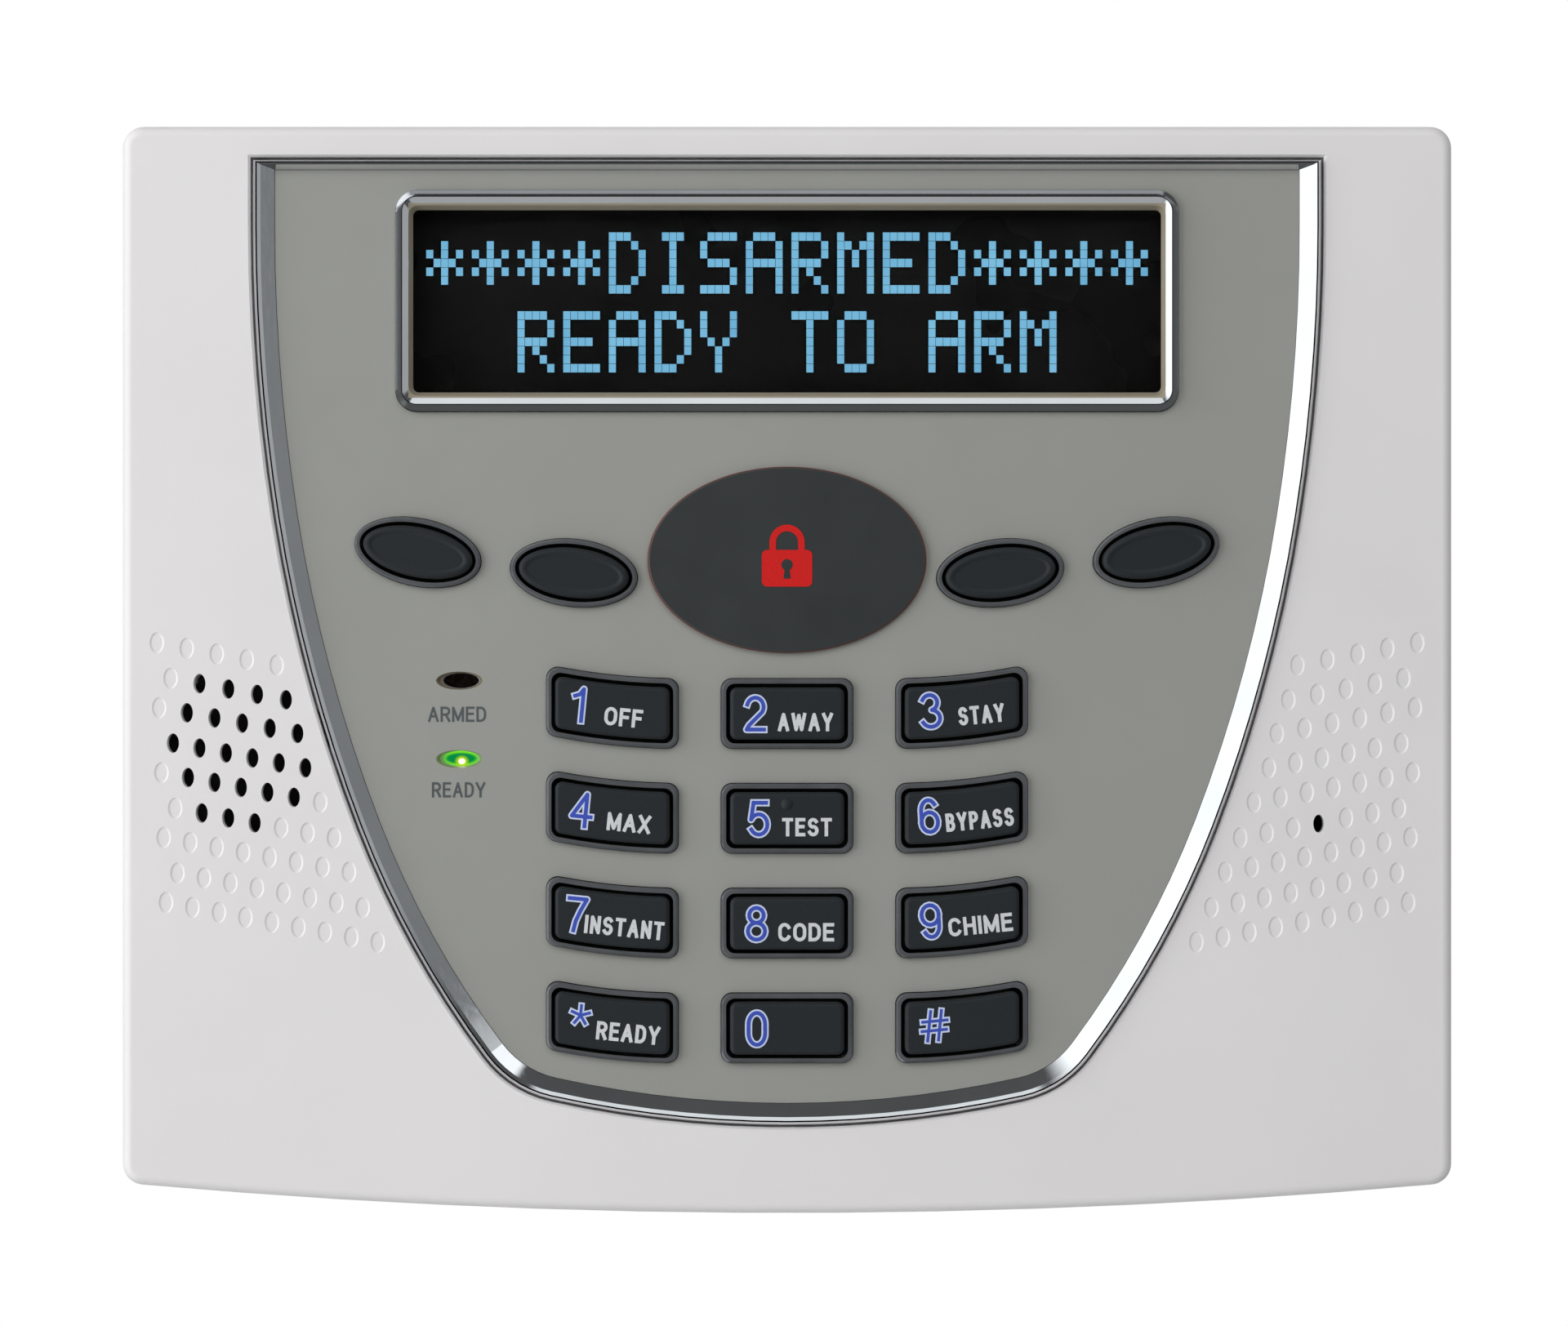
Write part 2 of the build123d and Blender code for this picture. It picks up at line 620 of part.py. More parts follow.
def make_lcd_jumpers():
    """Sixteen wire staples soldered from the display's board to the main board."""
    pin = JUMPER_PIN
    low = BOARD_TOP - 1.5
    high = LCD_BOARD_LOW + 1.5
    back = BOARD_BACK - JUMPER_RISE
    pins = []
    for i in range(JUMPERS):
        x = JUMPER_X + JUMPER_PITCH * i
        staple = block(x, x + pin, low, high, back, BOARD_BACK)
        pins.append(staple - block(x - 1, x + 1, low + pin, high - pin, back + pin, BOARD_BACK + 1))
    return group(pins)


# ---------------------------------------------------------------- main board
def make_main_board():
    """Main circuit board behind the keys, with its screw holes."""
    width = BOARD_RIGHT - BOARD_LEFT
    height = BOARD_TOP - BOARD_LOW
    centre = Pos((BOARD_RIGHT + BOARD_LEFT) / 2, (BOARD_TOP + BOARD_LOW) / 2)
    board = plate(centre * RectangleRounded(width, height, 2), BOARD_BACK, BOARD_FRONT)
    return board - [post(x, z, PILOT_R + 0.35, BOARD_BACK - 1, BOARD_FRONT + 1) for x, z in BOARD_SCREWS]


def make_lamp(name):
    """Round lamp with a base ring and a domed top, standing on the board."""
    x = LAMP_X
    z = LAMP_Z[name]
    dome_base = BOARD_FRONT + LED_DOME_BASE
    base = post(x, z, LED_BASE_R, BOARD_FRONT, BOARD_FRONT + LED_BASE_H)
    return base + post(x, z, LED_R, BOARD_FRONT, dome_base) + Pos(x, z, dome_base) * Sphere(LED_R)


def make_chip(x, z, width, height, thick, pins):
    """A moulded chip on the board's back, with gull-wing pins on its two long sides."""
    body = block(x - width / 2, x + width / 2, z - height / 2, z + height / 2,
                 BOARD_BACK - thick, BOARD_BACK - 0.2)
    pitch = width / pins
    for i in range(pins):
        pin_x = x - width / 2 + pitch * (i + 0.5)
        for side in (-1, 1):
            inner = z + side * (height / 2 - 0.2)
            outer = z + side * (height / 2 + 0.9)
            low, high = sorted((inner, outer))
            body += block(pin_x - 0.2, pin_x + 0.2, low, high, BOARD_BACK - 0.6, BOARD_BACK)
    return body


def make_capacitors():
    """Three round capacitors on the board's back, each with a rolled groove near its foot."""
    cans = []
    for i in range(CAPACITORS):
        x = CAPACITOR_X + CAPACITOR_PITCH * i
        can = post(x, CAPACITOR_Z, CAPACITOR_R, BOARD_BACK - CAPACITOR_L, BOARD_BACK)
        groove = post(x, CAPACITOR_Z, CAPACITOR_R + 0.5, BOARD_BACK - 2.0, BOARD_BACK - 1.4)
        core = post(x, CAPACITOR_Z, CAPACITOR_R - 0.3, BOARD_BACK - 3.0, BOARD_BACK)
        cans.append(can - (groove - core))
    return group(cans)


def make_crystal():
    """Crystal in its oblong metal can."""
    place = Pos(CRYSTAL_X, CRYSTAL_Z)
    can = plate(place * SlotOverall(11.0, 4.6), BOARD_BACK - 3.5, BOARD_BACK - 0.4)
    return can + plate(place * SlotOverall(11.8, 5.4), BOARD_BACK - 0.4, BOARD_BACK)


def terminal_xs():
    """The centre of each terminal."""
    for i in range(TERMINALS):
        yield TERMINAL_X + TERMINAL_PITCH * (i + 0.5)


def make_terminal_block():
    """Screw terminals for the four wires out of the wall."""
    right = TERMINAL_X + TERMINALS * TERMINAL_PITCH
    low = TERMINAL_Z - TERMINAL_HALF_H
    back = TERMINAL_BACK
    body = block(TERMINAL_X, right, low, TERMINAL_Z + TERMINAL_HALF_H, back, BOARD_BACK)
    for x in terminal_xs():
        body -= post(x, TERMINAL_SCREW_Z, TERMINAL_SCREW_R + 0.2, back - 1, back + 2.4)
        body -= block(x - 1.5, x + 1.5, low - 1, TERMINAL_Z - 0.5, back + 4.0, back + 7.0)
    return body


def make_terminal_screws():
    """The slotted clamp screws of the four terminals."""
    screws = []
    for x in terminal_xs():
        z = TERMINAL_SCREW_Z
        head = post(x, z, TERMINAL_SCREW_R, TERMINAL_BACK + 0.8, TERMINAL_BACK + 2.4)
        slot = block(x - 2, x + 2, z - 0.3, z + 0.3, TERMINAL_BACK, TERMINAL_BACK + 1.5)
        screws.append(head - slot)
    return group(screws)


def make_cross_screw(x, z, seat, head_r, length):
    """Pan-head screw with a cross recess, driven from behind up to its seat."""
    back = seat - SCREW_HEAD_H
    head = post(x, z, head_r, back, seat)
    head = fillet(head.faces().sort_by(Axis.Z)[0].edges(), SCREW_HEAD_EDGE)
    long = SCREW_SLOT_L / 2
    short = SCREW_SLOT_W / 2
    for half_w, half_h in ((long, short), (short, long)):
        head -= block(x - half_w, x + half_w, z - half_h, z + half_h, back - 1, back + SCREW_SLOT_DEPTH)
    return head + post(x, z, PILOT_R - 0.05, seat, seat + length)


def make_board_screws():
    """The screws that hold both boards to the cover's bosses."""
    places = BOARD_SCREWS + LCD_SCREWS
    return group([make_cross_screw(x, z, BOARD_BACK, SCREW_HEAD_R, SCREW_LENGTH) for x, z in places])


# ---------------------------------------------------------------- speaker and microphone
def turned(profile, x, z):
    """A ring or bowl turned about the depth axis. profile lists (radius, depth) corners."""
    face = make_face(Polyline(*[(r, 0, d) for r, d in profile], close=True))
    return Pos(x, z) * revolve(face, axis=Axis.Z)


def make_speaker_basket():
    """Pressed steel bowl with a flat flange and a tab for the leads."""
    r = SPEAKER_R
    back = SPEAKER_BOWL_BACK
    bowl = turned(
        [(r, SPEAKER_FLANGE_FRONT), (r, SPEAKER_FLANGE_BACK), (11.6, SPEAKER_FLANGE_BACK), (8.4, back),
         (0, back), (0, back + SPEAKER_SHEET), (8.0, back + SPEAKER_SHEET), (11.2, SPEAKER_FLANGE_FRONT)],
        SPEAKER_X, SPEAKER_Z)
    tab_left = SPEAKER_X + 7.5
    return bowl + block(tab_left, tab_left + 4, SPEAKER_Z - 4, SPEAKER_Z + 4, back, back + SPEAKER_SHEET)


def make_speaker_cone():
    """Thin cone with a domed cap."""
    rim = SPEAKER_FLANGE_FRONT
    skirt = [(11.35, rim + 0.3), (11.35, rim), (10.8, rim), (3.2, 17.2), (3.2, 17.5), (10.7, rim + 0.3)]
    dome = [(0, 18.6), (0, 18.3), (1.8, 18.0), (3.2, 17.2), (3.3, 17.55), (1.9, 18.3)]
    return turned(skirt, SPEAKER_X, SPEAKER_Z) + turned(dome, SPEAKER_X, SPEAKER_Z)


def make_speaker_magnet():
    """Magnet and back plate behind the bowl."""
    back = SPEAKER_BOWL_BACK - MAGNET_T
    magnet = post(SPEAKER_X, SPEAKER_Z, MAGNET_R, back, SPEAKER_BOWL_BACK)
    return magnet + post(SPEAKER_X, SPEAKER_Z, MAGNET_PLATE_R, back - MAGNET_PLATE_T, back)


def make_speaker_gasket():
    """Foam ring between the speaker's flange and the cover's ring wall."""
    gasket_front = FLOOR_BACK - 0.4
    outline = Circle(SPEAKER_R - 0.4) - Circle(SPEAKER_R - 1.8)
    return plate(Pos(SPEAKER_X, SPEAKER_Z) * outline, SPEAKER_FLANGE_FRONT, gasket_front)


def make_speaker_screws():
    """Two screws whose heads trap the speaker's flange."""
    screws = []
    for side in (-1, 1):
        z = SPEAKER_Z + side * SPEAKER_SCREW_OFFSET
        screws.append(
            make_cross_screw(SPEAKER_X, z, SPEAKER_FLANGE_BACK, SPEAKER_SCREW_HEAD_R, SPEAKER_SCREW_LENGTH)
        )
    return group(screws)


def make_speaker_socket():
    """Two-pole socket on the board's back."""
    right = SOCKET_LEFT + SOCKET_SIZE
    body = block(SOCKET_LEFT, right, SPEAKER_Z - 4, SPEAKER_Z + 4, BOARD_BACK - SOCKET_SIZE, BOARD_BACK)
    return chamfer(body.edges().filter_by(Axis.Y), 0.4)


def make_speaker_leads():
    """Two insulated leads from the speaker's tab to the socket."""
    leads = []
    start_x = SPEAKER_X + 10.4
    for side in (-1, 1):
        z = SPEAKER_Z + side * SPEAKER_POLES
        corners = [(start_x, z, SPEAKER_BOWL_BACK), (start_x, z, LEAD_DEPTH), (SOCKET_LEFT, z, LEAD_DEPTH)]
        path = FilletPolyline(*corners, radius=LEAD_BEND_R)
        section = Plane(origin=path @ 0, z_dir=path % 0) * Circle(LEAD_R)
        leads.append(sweep(section, path=path))
    return group(leads)


def make_microphone_capsule():
    """Round microphone on two pins."""
    front = CASE_FRONT - FRONT_WALL - 0.8
    back = BOARD_FRONT + 2.0
    body = post(MIC_X, MIC_Z, MIC_CAPSULE_R, back, front)
    body -= post(MIC_X, MIC_Z, 0.9, front - 0.6, front + 1)
    for side in (-1, 1):
        body += post(MIC_X + side * 1.27, MIC_Z, 0.3, BOARD_FRONT, back)
    return body


def make_microphone_boot():
    """Rubber sleeve that seals the microphone to the inside of the cover."""
    outline = Circle(MIC_BOOT_R) - Circle(MIC_CAPSULE_R + SLIP)
    return plate(Pos(MIC_X, MIC_Z) * outline, BOARD_FRONT, CASE_FRONT - FRONT_WALL)


# ---------------------------------------------------------------- wall plate
def make_hook(x):
    """A tab that stands out from the plate and turns up into the cover's slot."""
    low = CASE_TOP - 6.6
    half = HOOK_W / 2
    foot = block(x - half, x + half, low, low + 1.8, PLATE_T - 0.5, HOOK_FRONT)
    return foot + block(x - half, x + half, low, HOOK_TOP, HOOK_BACK, HOOK_FRONT)


def make_wall_plate():
    """Rear plate that screws to the wall: screw slots, wiring opening, hooks, rims and ribs."""
    base = plate(case_outline(PLATE_INSET), 0, PLATE_T)
    opening = RectangleRounded(WIRE_OPENING_W, WIRE_OPENING_H, 3)
    rim = RectangleRounded(WIRE_OPENING_W + 2 * RIM_W, WIRE_OPENING_H + 2 * RIM_W, 3 + RIM_W)
    base += plate(rim, PLATE_T - 0.5, RIM_FRONT)
    for side in (-1, 1):
        base += block(side * 40 - 10, side * 40 + 10, -1, 1, PLATE_T - 0.5, RIM_FRONT)
        left = side * TAB_X - TAB_W / 2
        base += block(left, left + TAB_W, TAB_LOW, TAB_LOW + TAB_T, PLATE_T - 0.5, TAB_FRONT)
        base += make_hook(side * HOOK_X)
        rib_x = side * EDGE_RIB_X
        half = EDGE_RIB_T / 2
        base += block(rib_x - half, rib_x + half, -56, 60, PLATE_T - 0.5, EDGE_RIB_FRONT)
    cuts = [plate(opening, -1, RIM_FRONT + 1)]
    for x in (-WALL_SCREW_X / 2, WALL_SCREW_X / 2):
        for z in (-WALL_SCREW_Z / 2, WALL_SCREW_Z / 2):
            slot = Pos(x, z) * SlotOverall(WALL_SLOT_L, 2 * WALL_SCREW_R)
            cuts.append(plate(slot, -1, PLATE_T + 1))
    for z in (-GANG_BOX_PITCH / 2, GANG_BOX_PITCH / 2):
        cuts.append(post(0, z, WALL_SCREW_R, -1, PLATE_T + 1))
    return base - cuts


# ---------------------------------------------------------------- write every piece
def main():
    os.makedirs("parts", exist_ok=True)
    save("wall_plate", make_wall_plate())
    save("front_cover", make_front_cover())
    save("chrome_trim", make_chrome_trim())
    save("face_panel", make_face_panel())
    save("display_bezel", make_display_bezel())
    save("display_window", make_display_window())
    save("emblem_plate", make_emblem_plate())
    save("number_key_collars", make_number_key_collars())
    save("function_key_collars", make_function_key_collars())
    save("keypad_mat", make_keypad_mat())
    save("lcd_frame", make_lcd_frame())
    save("lcd_glass", make_lcd_glass())
    save("lcd_backlight", make_lcd_backlight())
    save("lcd_board", make_lcd_board())
    save("lcd_jumpers", make_lcd_jumpers())
    save("main_board", make_main_board())
    save("processor_chip", make_chip(30, -18, 14, 14, 1.8, 12))
    save("voice_chip", make_chip(48, -8, 15, 7.5, 2.4, 12))
    save("capacitors", make_capacitors())
    save("crystal", make_crystal())
    save("terminal_block", make_terminal_block())
    save("terminal_screws", make_terminal_screws())
    save("board_screws", make_board_screws())
    save("speaker_basket", make_speaker_basket())
    save("speaker_cone", make_speaker_cone())
    save("speaker_magnet", make_speaker_magnet())
    save("speaker_gasket", make_speaker_gasket())
    save("speaker_screws", make_speaker_screws())
    save("speaker_socket", make_speaker_socket())
    save("speaker_leads", make_speaker_leads())
    save("microphone_capsule", make_microphone_capsule())
    save("microphone_boot", make_microphone_boot())
    for name in LAMP_Z:
        save(f"{name}_light_pipe", make_light_pipe(name))
        save(f"{name}_lamp", make_lamp(name))
    for name, column, row in number_keys():
        save(f"key_{name}", make_number_key(name, column, row))
    for letter in FUNCTION_KEYS:
        save(f"function_key_{letter}", make_function_key(letter))


main()
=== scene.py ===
import math

import bmesh
import bpy
from mathutils import Matrix, Vector


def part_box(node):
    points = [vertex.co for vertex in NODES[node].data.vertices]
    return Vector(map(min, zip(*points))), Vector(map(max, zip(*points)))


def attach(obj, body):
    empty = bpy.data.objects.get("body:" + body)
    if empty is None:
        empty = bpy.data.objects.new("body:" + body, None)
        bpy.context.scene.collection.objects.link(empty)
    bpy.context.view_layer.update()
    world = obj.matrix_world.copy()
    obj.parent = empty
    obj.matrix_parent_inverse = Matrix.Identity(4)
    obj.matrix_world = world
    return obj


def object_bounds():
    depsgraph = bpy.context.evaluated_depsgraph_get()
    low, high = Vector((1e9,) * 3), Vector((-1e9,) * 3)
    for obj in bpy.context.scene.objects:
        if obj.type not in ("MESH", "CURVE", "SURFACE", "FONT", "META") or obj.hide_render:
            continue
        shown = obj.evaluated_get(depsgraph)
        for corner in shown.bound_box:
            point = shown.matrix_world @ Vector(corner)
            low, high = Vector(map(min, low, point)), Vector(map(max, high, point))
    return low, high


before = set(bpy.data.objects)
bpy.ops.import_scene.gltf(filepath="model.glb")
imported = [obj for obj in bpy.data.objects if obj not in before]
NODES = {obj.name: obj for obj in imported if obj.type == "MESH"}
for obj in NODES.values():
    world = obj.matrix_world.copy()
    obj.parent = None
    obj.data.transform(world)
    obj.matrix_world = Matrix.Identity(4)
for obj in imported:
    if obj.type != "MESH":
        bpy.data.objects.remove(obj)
CAD_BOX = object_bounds()

# ---------------------------------------------------------------- sizes, in metres
MM = 0.001
INK = 0.03 * MM                  # thickness of a printed legend
CHARACTER_PITCH = 6.02 * MM
LINE_PITCH = 10.4 * MM
DOT_PITCH_X = 0.98 * MM
DOT_PITCH_Z = 1.16 * MM
DOT_W = 0.92 * MM
DOT_H = 1.10 * MM
TOP_DOTS_Z = 8.85 * MM           # the top row of dots above the glass's middle
CHARACTERS = 16                  # in a line, each five dots wide
TRACK_PITCH = 1.27 * MM          # circuit board tracks, centre to centre
TRACK_HALF_W = 0.17 * MM
TRACK_EDGE = 0.04 * MM           # a track fades out over this much
PANEL_PAINT = (0.08 * MM, 0.2 * MM)       # the panel's paint ends between these depths
BEZEL_RIM = 1.72 * MM            # plated width of the bezel's frame, round the window's bare flared wall
FELT_DEPTH = 0.65 * MM           # the felt lines the microphone's front and the sound port in it
ROW_SLOPE = 5.5                  # degrees by which the outer keys' legends follow their row

NUMBER_KEYS = ["1", "2", "3", "4", "5", "6", "7", "8", "9", "star", "0", "pound"]
FUNCTION_KEYS = ["a", "b", "c", "d"]


def tone(r, g, b):
    """A colour given as 0-255 display values, as linear light."""
    def linear(v):
        v /= 255
        return v / 12.92 if v <= 0.04045 else ((v + 0.055) / 1.055) ** 2.4
    return (linear(r), linear(g), linear(b), 1.0)


def centre_of(node):
    """The middle of a CAD piece's box."""
    low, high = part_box(node)
    return (low + high) / 2


# ---------------------------------------------------------------- material building
def add_node(tree, kind, **settings):
    """Adds a node with some of its settings."""
    made = tree.nodes.new(kind)
    for key, value in settings.items():
        setattr(made, key, value)
    return made


def feed(tree, value, socket):
    """Links a node's output to a socket, or sets the socket to a plain value."""
    if isinstance(value, bpy.types.NodeSocket):
        tree.links.new(value, socket)
    else:
        socket.default_value = value


class Finish:
    """One node material round a single Principled shader."""

    def __init__(self, name, colour, roughness, **values):
        self.material = bpy.data.materials.new(name)
        self.material.use_nodes = True
        self.tree = self.material.node_tree
        self.shader = self.tree.nodes["Principled BSDF"]
        self.shader.inputs["Base Color"].default_value = colour
        self.shader.inputs["Roughness"].default_value = roughness
        for key, value in values.items():
            self.shader.inputs[key.replace("_", " ")].default_value = value
        self.place = self.node("ShaderNodeTexCoord").outputs["Object"]

    def node(self, kind, **settings):
        return add_node(self.tree, kind, **settings)

    def feed(self, value, socket):
        feed(self.tree, value, socket)

    def vector(self, operation, first, second):
        """A sum done on two vectors, point by point."""
        made = self.node("ShaderNodeVectorMath", operation=operation)
        self.feed(first, made.inputs[0])
        self.feed(second, made.inputs[1])
        return made.outputs["Vector"]

    def math(self, operation, first, second=0.0):
        """A sum done on one or two numbers, point by point."""
        made = self.node("ShaderNodeMath", operation=operation)
        self.feed(first, made.inputs[0])
        self.feed(second, made.inputs[1])
        return made.outputs["Value"]

    def noise(self, size, detail=3.0, stretch=(1, 1, 1)):
        """Soft noise whose features are about size metres across."""
        made = self.node("ShaderNodeTexNoise")
        made.inputs["Scale"].default_value = 1 / size
        made.inputs["Detail"].default_value = detail
        self.feed(self.vector("MULTIPLY", self.place, stretch), made.inputs["Vector"])
        return made.outputs["Fac"]

    def cells(self, size):
        """Distance from scattered points about size metres apart."""
        made = self.node("ShaderNodeTexVoronoi")
        made.inputs["Scale"].default_value = 1 / size
        self.feed(self.place, made.inputs["Vector"])
        return made.outputs["Distance"]

    def spread(self, value, low, high, out_low=0.0, out_high=1.0):
        """Maps a stretch of value onto another stretch, clamped."""
        made = self.node("ShaderNodeMapRange")
        for socket, number in zip(made.inputs[1:5], (low, high, out_low, out_high)):
            socket.default_value = number
        self.feed(value, made.inputs[0])
        return made.outputs[0]

    def blend(self, amount, first, second):
        """A colour mixed from two colours by amount."""
        made = self.node("ShaderNodeMix", data_type="RGBA")
        self.feed(amount, made.inputs[0])
        self.feed(first, made.inputs[6])
        self.feed(second, made.inputs[7])
        return made.outputs[2]

    def clouded(self, size, detail, light, dark, low=0.35):
        """A colour that drifts from light to dark over patches about size metres across."""
        patches = self.spread(self.noise(size, detail), low, 0.7)
        return self.blend(patches, light, dark)

    def painted(self):
        """The colour that has been linked to the shader so far."""
        return self.shader.inputs["Base Color"].links[0].from_socket

    def along(self, axis):
        """The point's own X, Y or Z, in metres."""
        made = self.node("ShaderNodeSeparateXYZ")
        self.feed(self.place, made.inputs[0])
        return made.outputs[axis]

    def distance_from(self, centre, across, up):
        """0 at centre and 1 on the ellipse of semi-axes across (X) and up (Z) round it."""
        offset = self.vector("SUBTRACT", self.place, centre)
        scaled = self.vector("MULTIPLY", offset, (1 / across, 0, 1 / up))
        made = self.node("ShaderNodeVectorMath", operation="LENGTH")
        self.feed(scaled, made.inputs[0])
        return made.outputs["Value"]

    def colour(self, value):
        self.feed(value, self.shader.inputs["Base Color"])
        return self

    def metallic(self, value):
        self.feed(value, self.shader.inputs["Metallic"])
        return self

    def roughness(self, value):
        self.feed(value, self.shader.inputs["Roughness"])
        return self

    def glow(self, colour, strength):
        self.feed(colour, self.shader.inputs["Emission Color"])
        self.feed(strength, self.shader.inputs["Emission Strength"])
        return self

    def bump(self, height, depth, strength=1.0):
        """Raises the surface by up to depth metres where height is 1."""
        made = self.node("ShaderNodeBump")
        made.inputs["Strength"].default_value = strength
        made.inputs["Distance"].default_value = depth
        self.feed(height, made.inputs["Height"])
        self.feed(made.outputs["Normal"], self.shader.inputs["Normal"])
        return self


def moulded_plastic(name, light, dark, roughness, grain=0.35 * MM, grain_depth=0.004 * MM):
    """Moulded plastic: faint mottling, a fine grain and slightly uneven gloss."""
    made = Finish(name, light, roughness, IOR=1.5)
    made.colour(made.clouded(30 * MM, 4, light, dark, 0.3))
    made.roughness(made.spread(made.noise(4 * MM, 3), 0.3, 0.7, roughness - 0.04, roughness + 0.05))
    return made.bump(made.noise(grain, 2), grain_depth, 0.6)


def plated(name, light, dark, roughness):
    """Bright plating with faint waviness and fine hairline wear."""
    made = Finish(name, light, roughness, Metallic=1.0)
    made.colour(made.clouded(12 * MM, 3, light, dark))
    scuffs = made.spread(made.noise(0.6 * MM, 4, (1, 1, 0.25)), 0.45, 0.75)
    made.roughness(made.spread(scuffs, 0, 1, roughness, roughness + 0.08))
    return made.bump(made.noise(2.5 * MM, 2), 0.004 * MM, 0.4)


def rubber(name, light, dark):
    """Silicone rubber: dull, with a fine dusty texture."""
    made = Finish(name, light, 0.55, IOR=1.45, Specular_IOR_Level=0.45, Sheen_Weight=0.05)
    dust = made.spread(made.noise(0.25 * MM, 3), 0.35, 0.75)
    cloud = made.noise(9 * MM, 2)
    made.colour(made.blend(made.math("MULTIPLY", dust, cloud), light, dark))
    made.roughness(made.spread(dust, 0, 1, 0.47, 0.6))
    return made.bump(dust, 0.006 * MM, 0.5)


def brushed_metal(name, light, dark, roughness):
    """Rolled or pressed sheet with a directional grain."""
    made = Finish(name, light, roughness, Metallic=1.0)
    lines = made.noise(0.5 * MM, 4, (0.06, 1, 1))
    made.colour(made.blend(made.spread(lines, 0.35, 0.7), light, dark))
    made.roughness(made.spread(lines, 0.3, 0.7, roughness - 0.05, roughness + 0.1))
    return made.bump(lines, 0.003 * MM, 0.5)


def printed_ink(name, colour, roughness=0.45):
    """Screen-printed ink, slightly uneven in depth of colour."""
    made = Finish(name, colour, roughness)
    thin = tuple(0.88 * c for c in colour[:3]) + (1.0,)
    made.colour(made.clouded(0.3 * MM, 3, colour, thin, 0.4))
    return made.bump(made.noise(0.12 * MM, 2), 0.003 * MM, 0.4)


def circuit_laminate():
    """Green solder resist over copper tracks, which run across in some places and upright in others."""
    resist = tone(16, 74, 40)
    made = Finish("circuit_laminate", resist, 0.32, IOR=1.5)

    def lines(axis):
        from_middle = made.math("PINGPONG", made.along(axis), TRACK_PITCH / 2)
        return made.spread(from_middle, TRACK_HALF_W, TRACK_HALF_W + TRACK_EDGE, 1.0, 0.0)

    across = made.spread(made.noise(16 * MM, 0), 0.498, 0.502)      # about half of the board
    upright = made.math("SUBTRACT", 1.0, across)
    both = made.math("ADD", made.math("MULTIPLY", lines("Z"), across),
                     made.math("MULTIPLY", lines("X"), upright))
    present = made.spread(made.noise(8 * MM, 0), 0.47, 0.474)       # rather more than half
    tracks = made.math("MULTIPLY", both, present)
    made.colour(made.blend(tracks, resist, tone(38, 112, 62)))
    return made.bump(tracks, 0.03 * MM, 0.6)


def clear_lens():
    """Hard-coated clear lens, tinted a little, with faint wiping marks in its gloss."""
    made = Finish("clear_lens", (0.93, 0.94, 0.95, 1), 0.02, IOR=1.4, Transmission_Weight=1.0)
    wipes = made.spread(made.noise(6 * MM, 4, (0.3, 1, 1)), 0.5, 0.8)
    return made.roughness(made.spread(wipes, 0, 1, 0.015, 0.05))


def display_face():
    """Black display glass, a shade browner where the liquid crystal is."""
    black = tone(19, 18, 17)
    made = Finish("display_face", black, 0.3, IOR=1.3)
    warm = made.spread(made.noise(20 * MM, 2), 0.35, 0.7)
    made.colour(made.blend(warm, black, tone(24, 20, 19)))
    return made.roughness(made.spread(warm, 0, 1, 0.26, 0.36))


def lit_dots():
    """Lit display dots: pale blue, a little uneven from the light behind them."""
    dull = tone(40, 60, 72)
    made = Finish("lit_dots", dull, 0.5)
    patch = made.spread(made.noise(7 * MM, 2), 0.3, 0.7)
    made.colour(made.blend(patch, dull, tone(36, 54, 66)))
    return made.glow(made.blend(patch, tone(126, 196, 230), tone(108, 180, 218)), 0.95)


def face_plastic():
    """The grey face panel: sprayed in front, with its clear beige plastic showing in the cut edges."""
    made = moulded_plastic("panel_grey", tone(157, 158, 153), tone(154, 155, 150), 0.36,
                           0.25 * MM, 0.002 * MM)
    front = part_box("face_panel")[0].y
    edge = made.spread(made.along("Y"), *(front + depth for depth in PANEL_PAINT))
    return made.colour(made.blend(edge, made.painted(), tone(168, 158, 134)))


def bezel_plating():
    """Bright plating, stopping at the window's flared wall, which is bare beige plastic."""
    light = (0.86, 0.86, 0.87, 1)
    made = Finish("bezel_plating", light, 0.08)
    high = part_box("display_bezel")[1]
    middle = centre_of("display_bezel")
    rise = made.math("SUBTRACT", made.along("Z"), middle.z)
    beyond_x = made.math("SUBTRACT", made.math("ABSOLUTE", made.along("X")), high.x - middle.x - BEZEL_RIM)
    beyond_z = made.math("SUBTRACT", made.math("ABSOLUTE", rise), high.z - middle.z - BEZEL_RIM)
    bright = made.spread(made.math("MAXIMUM", beyond_x, beyond_z), -0.01 * MM, 0.01 * MM)
    plate = made.clouded(12 * MM, 3, light, (0.8, 0.8, 0.81, 1))
    made.colour(made.blend(bright, tone(150, 142, 124), plate))
    made.roughness(made.spread(bright, 0, 1, 0.5, 0.08))
    made.metallic(bright)
    return made.bump(made.noise(2.5 * MM, 2), 0.004 * MM, 0.4)


def smoked_plating():
    """The key collars' thin dark plating, half mirror and half grey plastic."""
    smoke = tone(124, 127, 131)
    made = Finish("collar_smoke", smoke, 0.2, Metallic=0.5)
    made.colour(made.clouded(5 * MM, 3, smoke, tone(112, 115, 119)))
    made.roughness(made.spread(made.noise(0.6 * MM, 4), 0.45, 0.75, 0.16, 0.26))
    return made.bump(made.noise(2 * MM, 2), 0.002 * MM, 0.4)


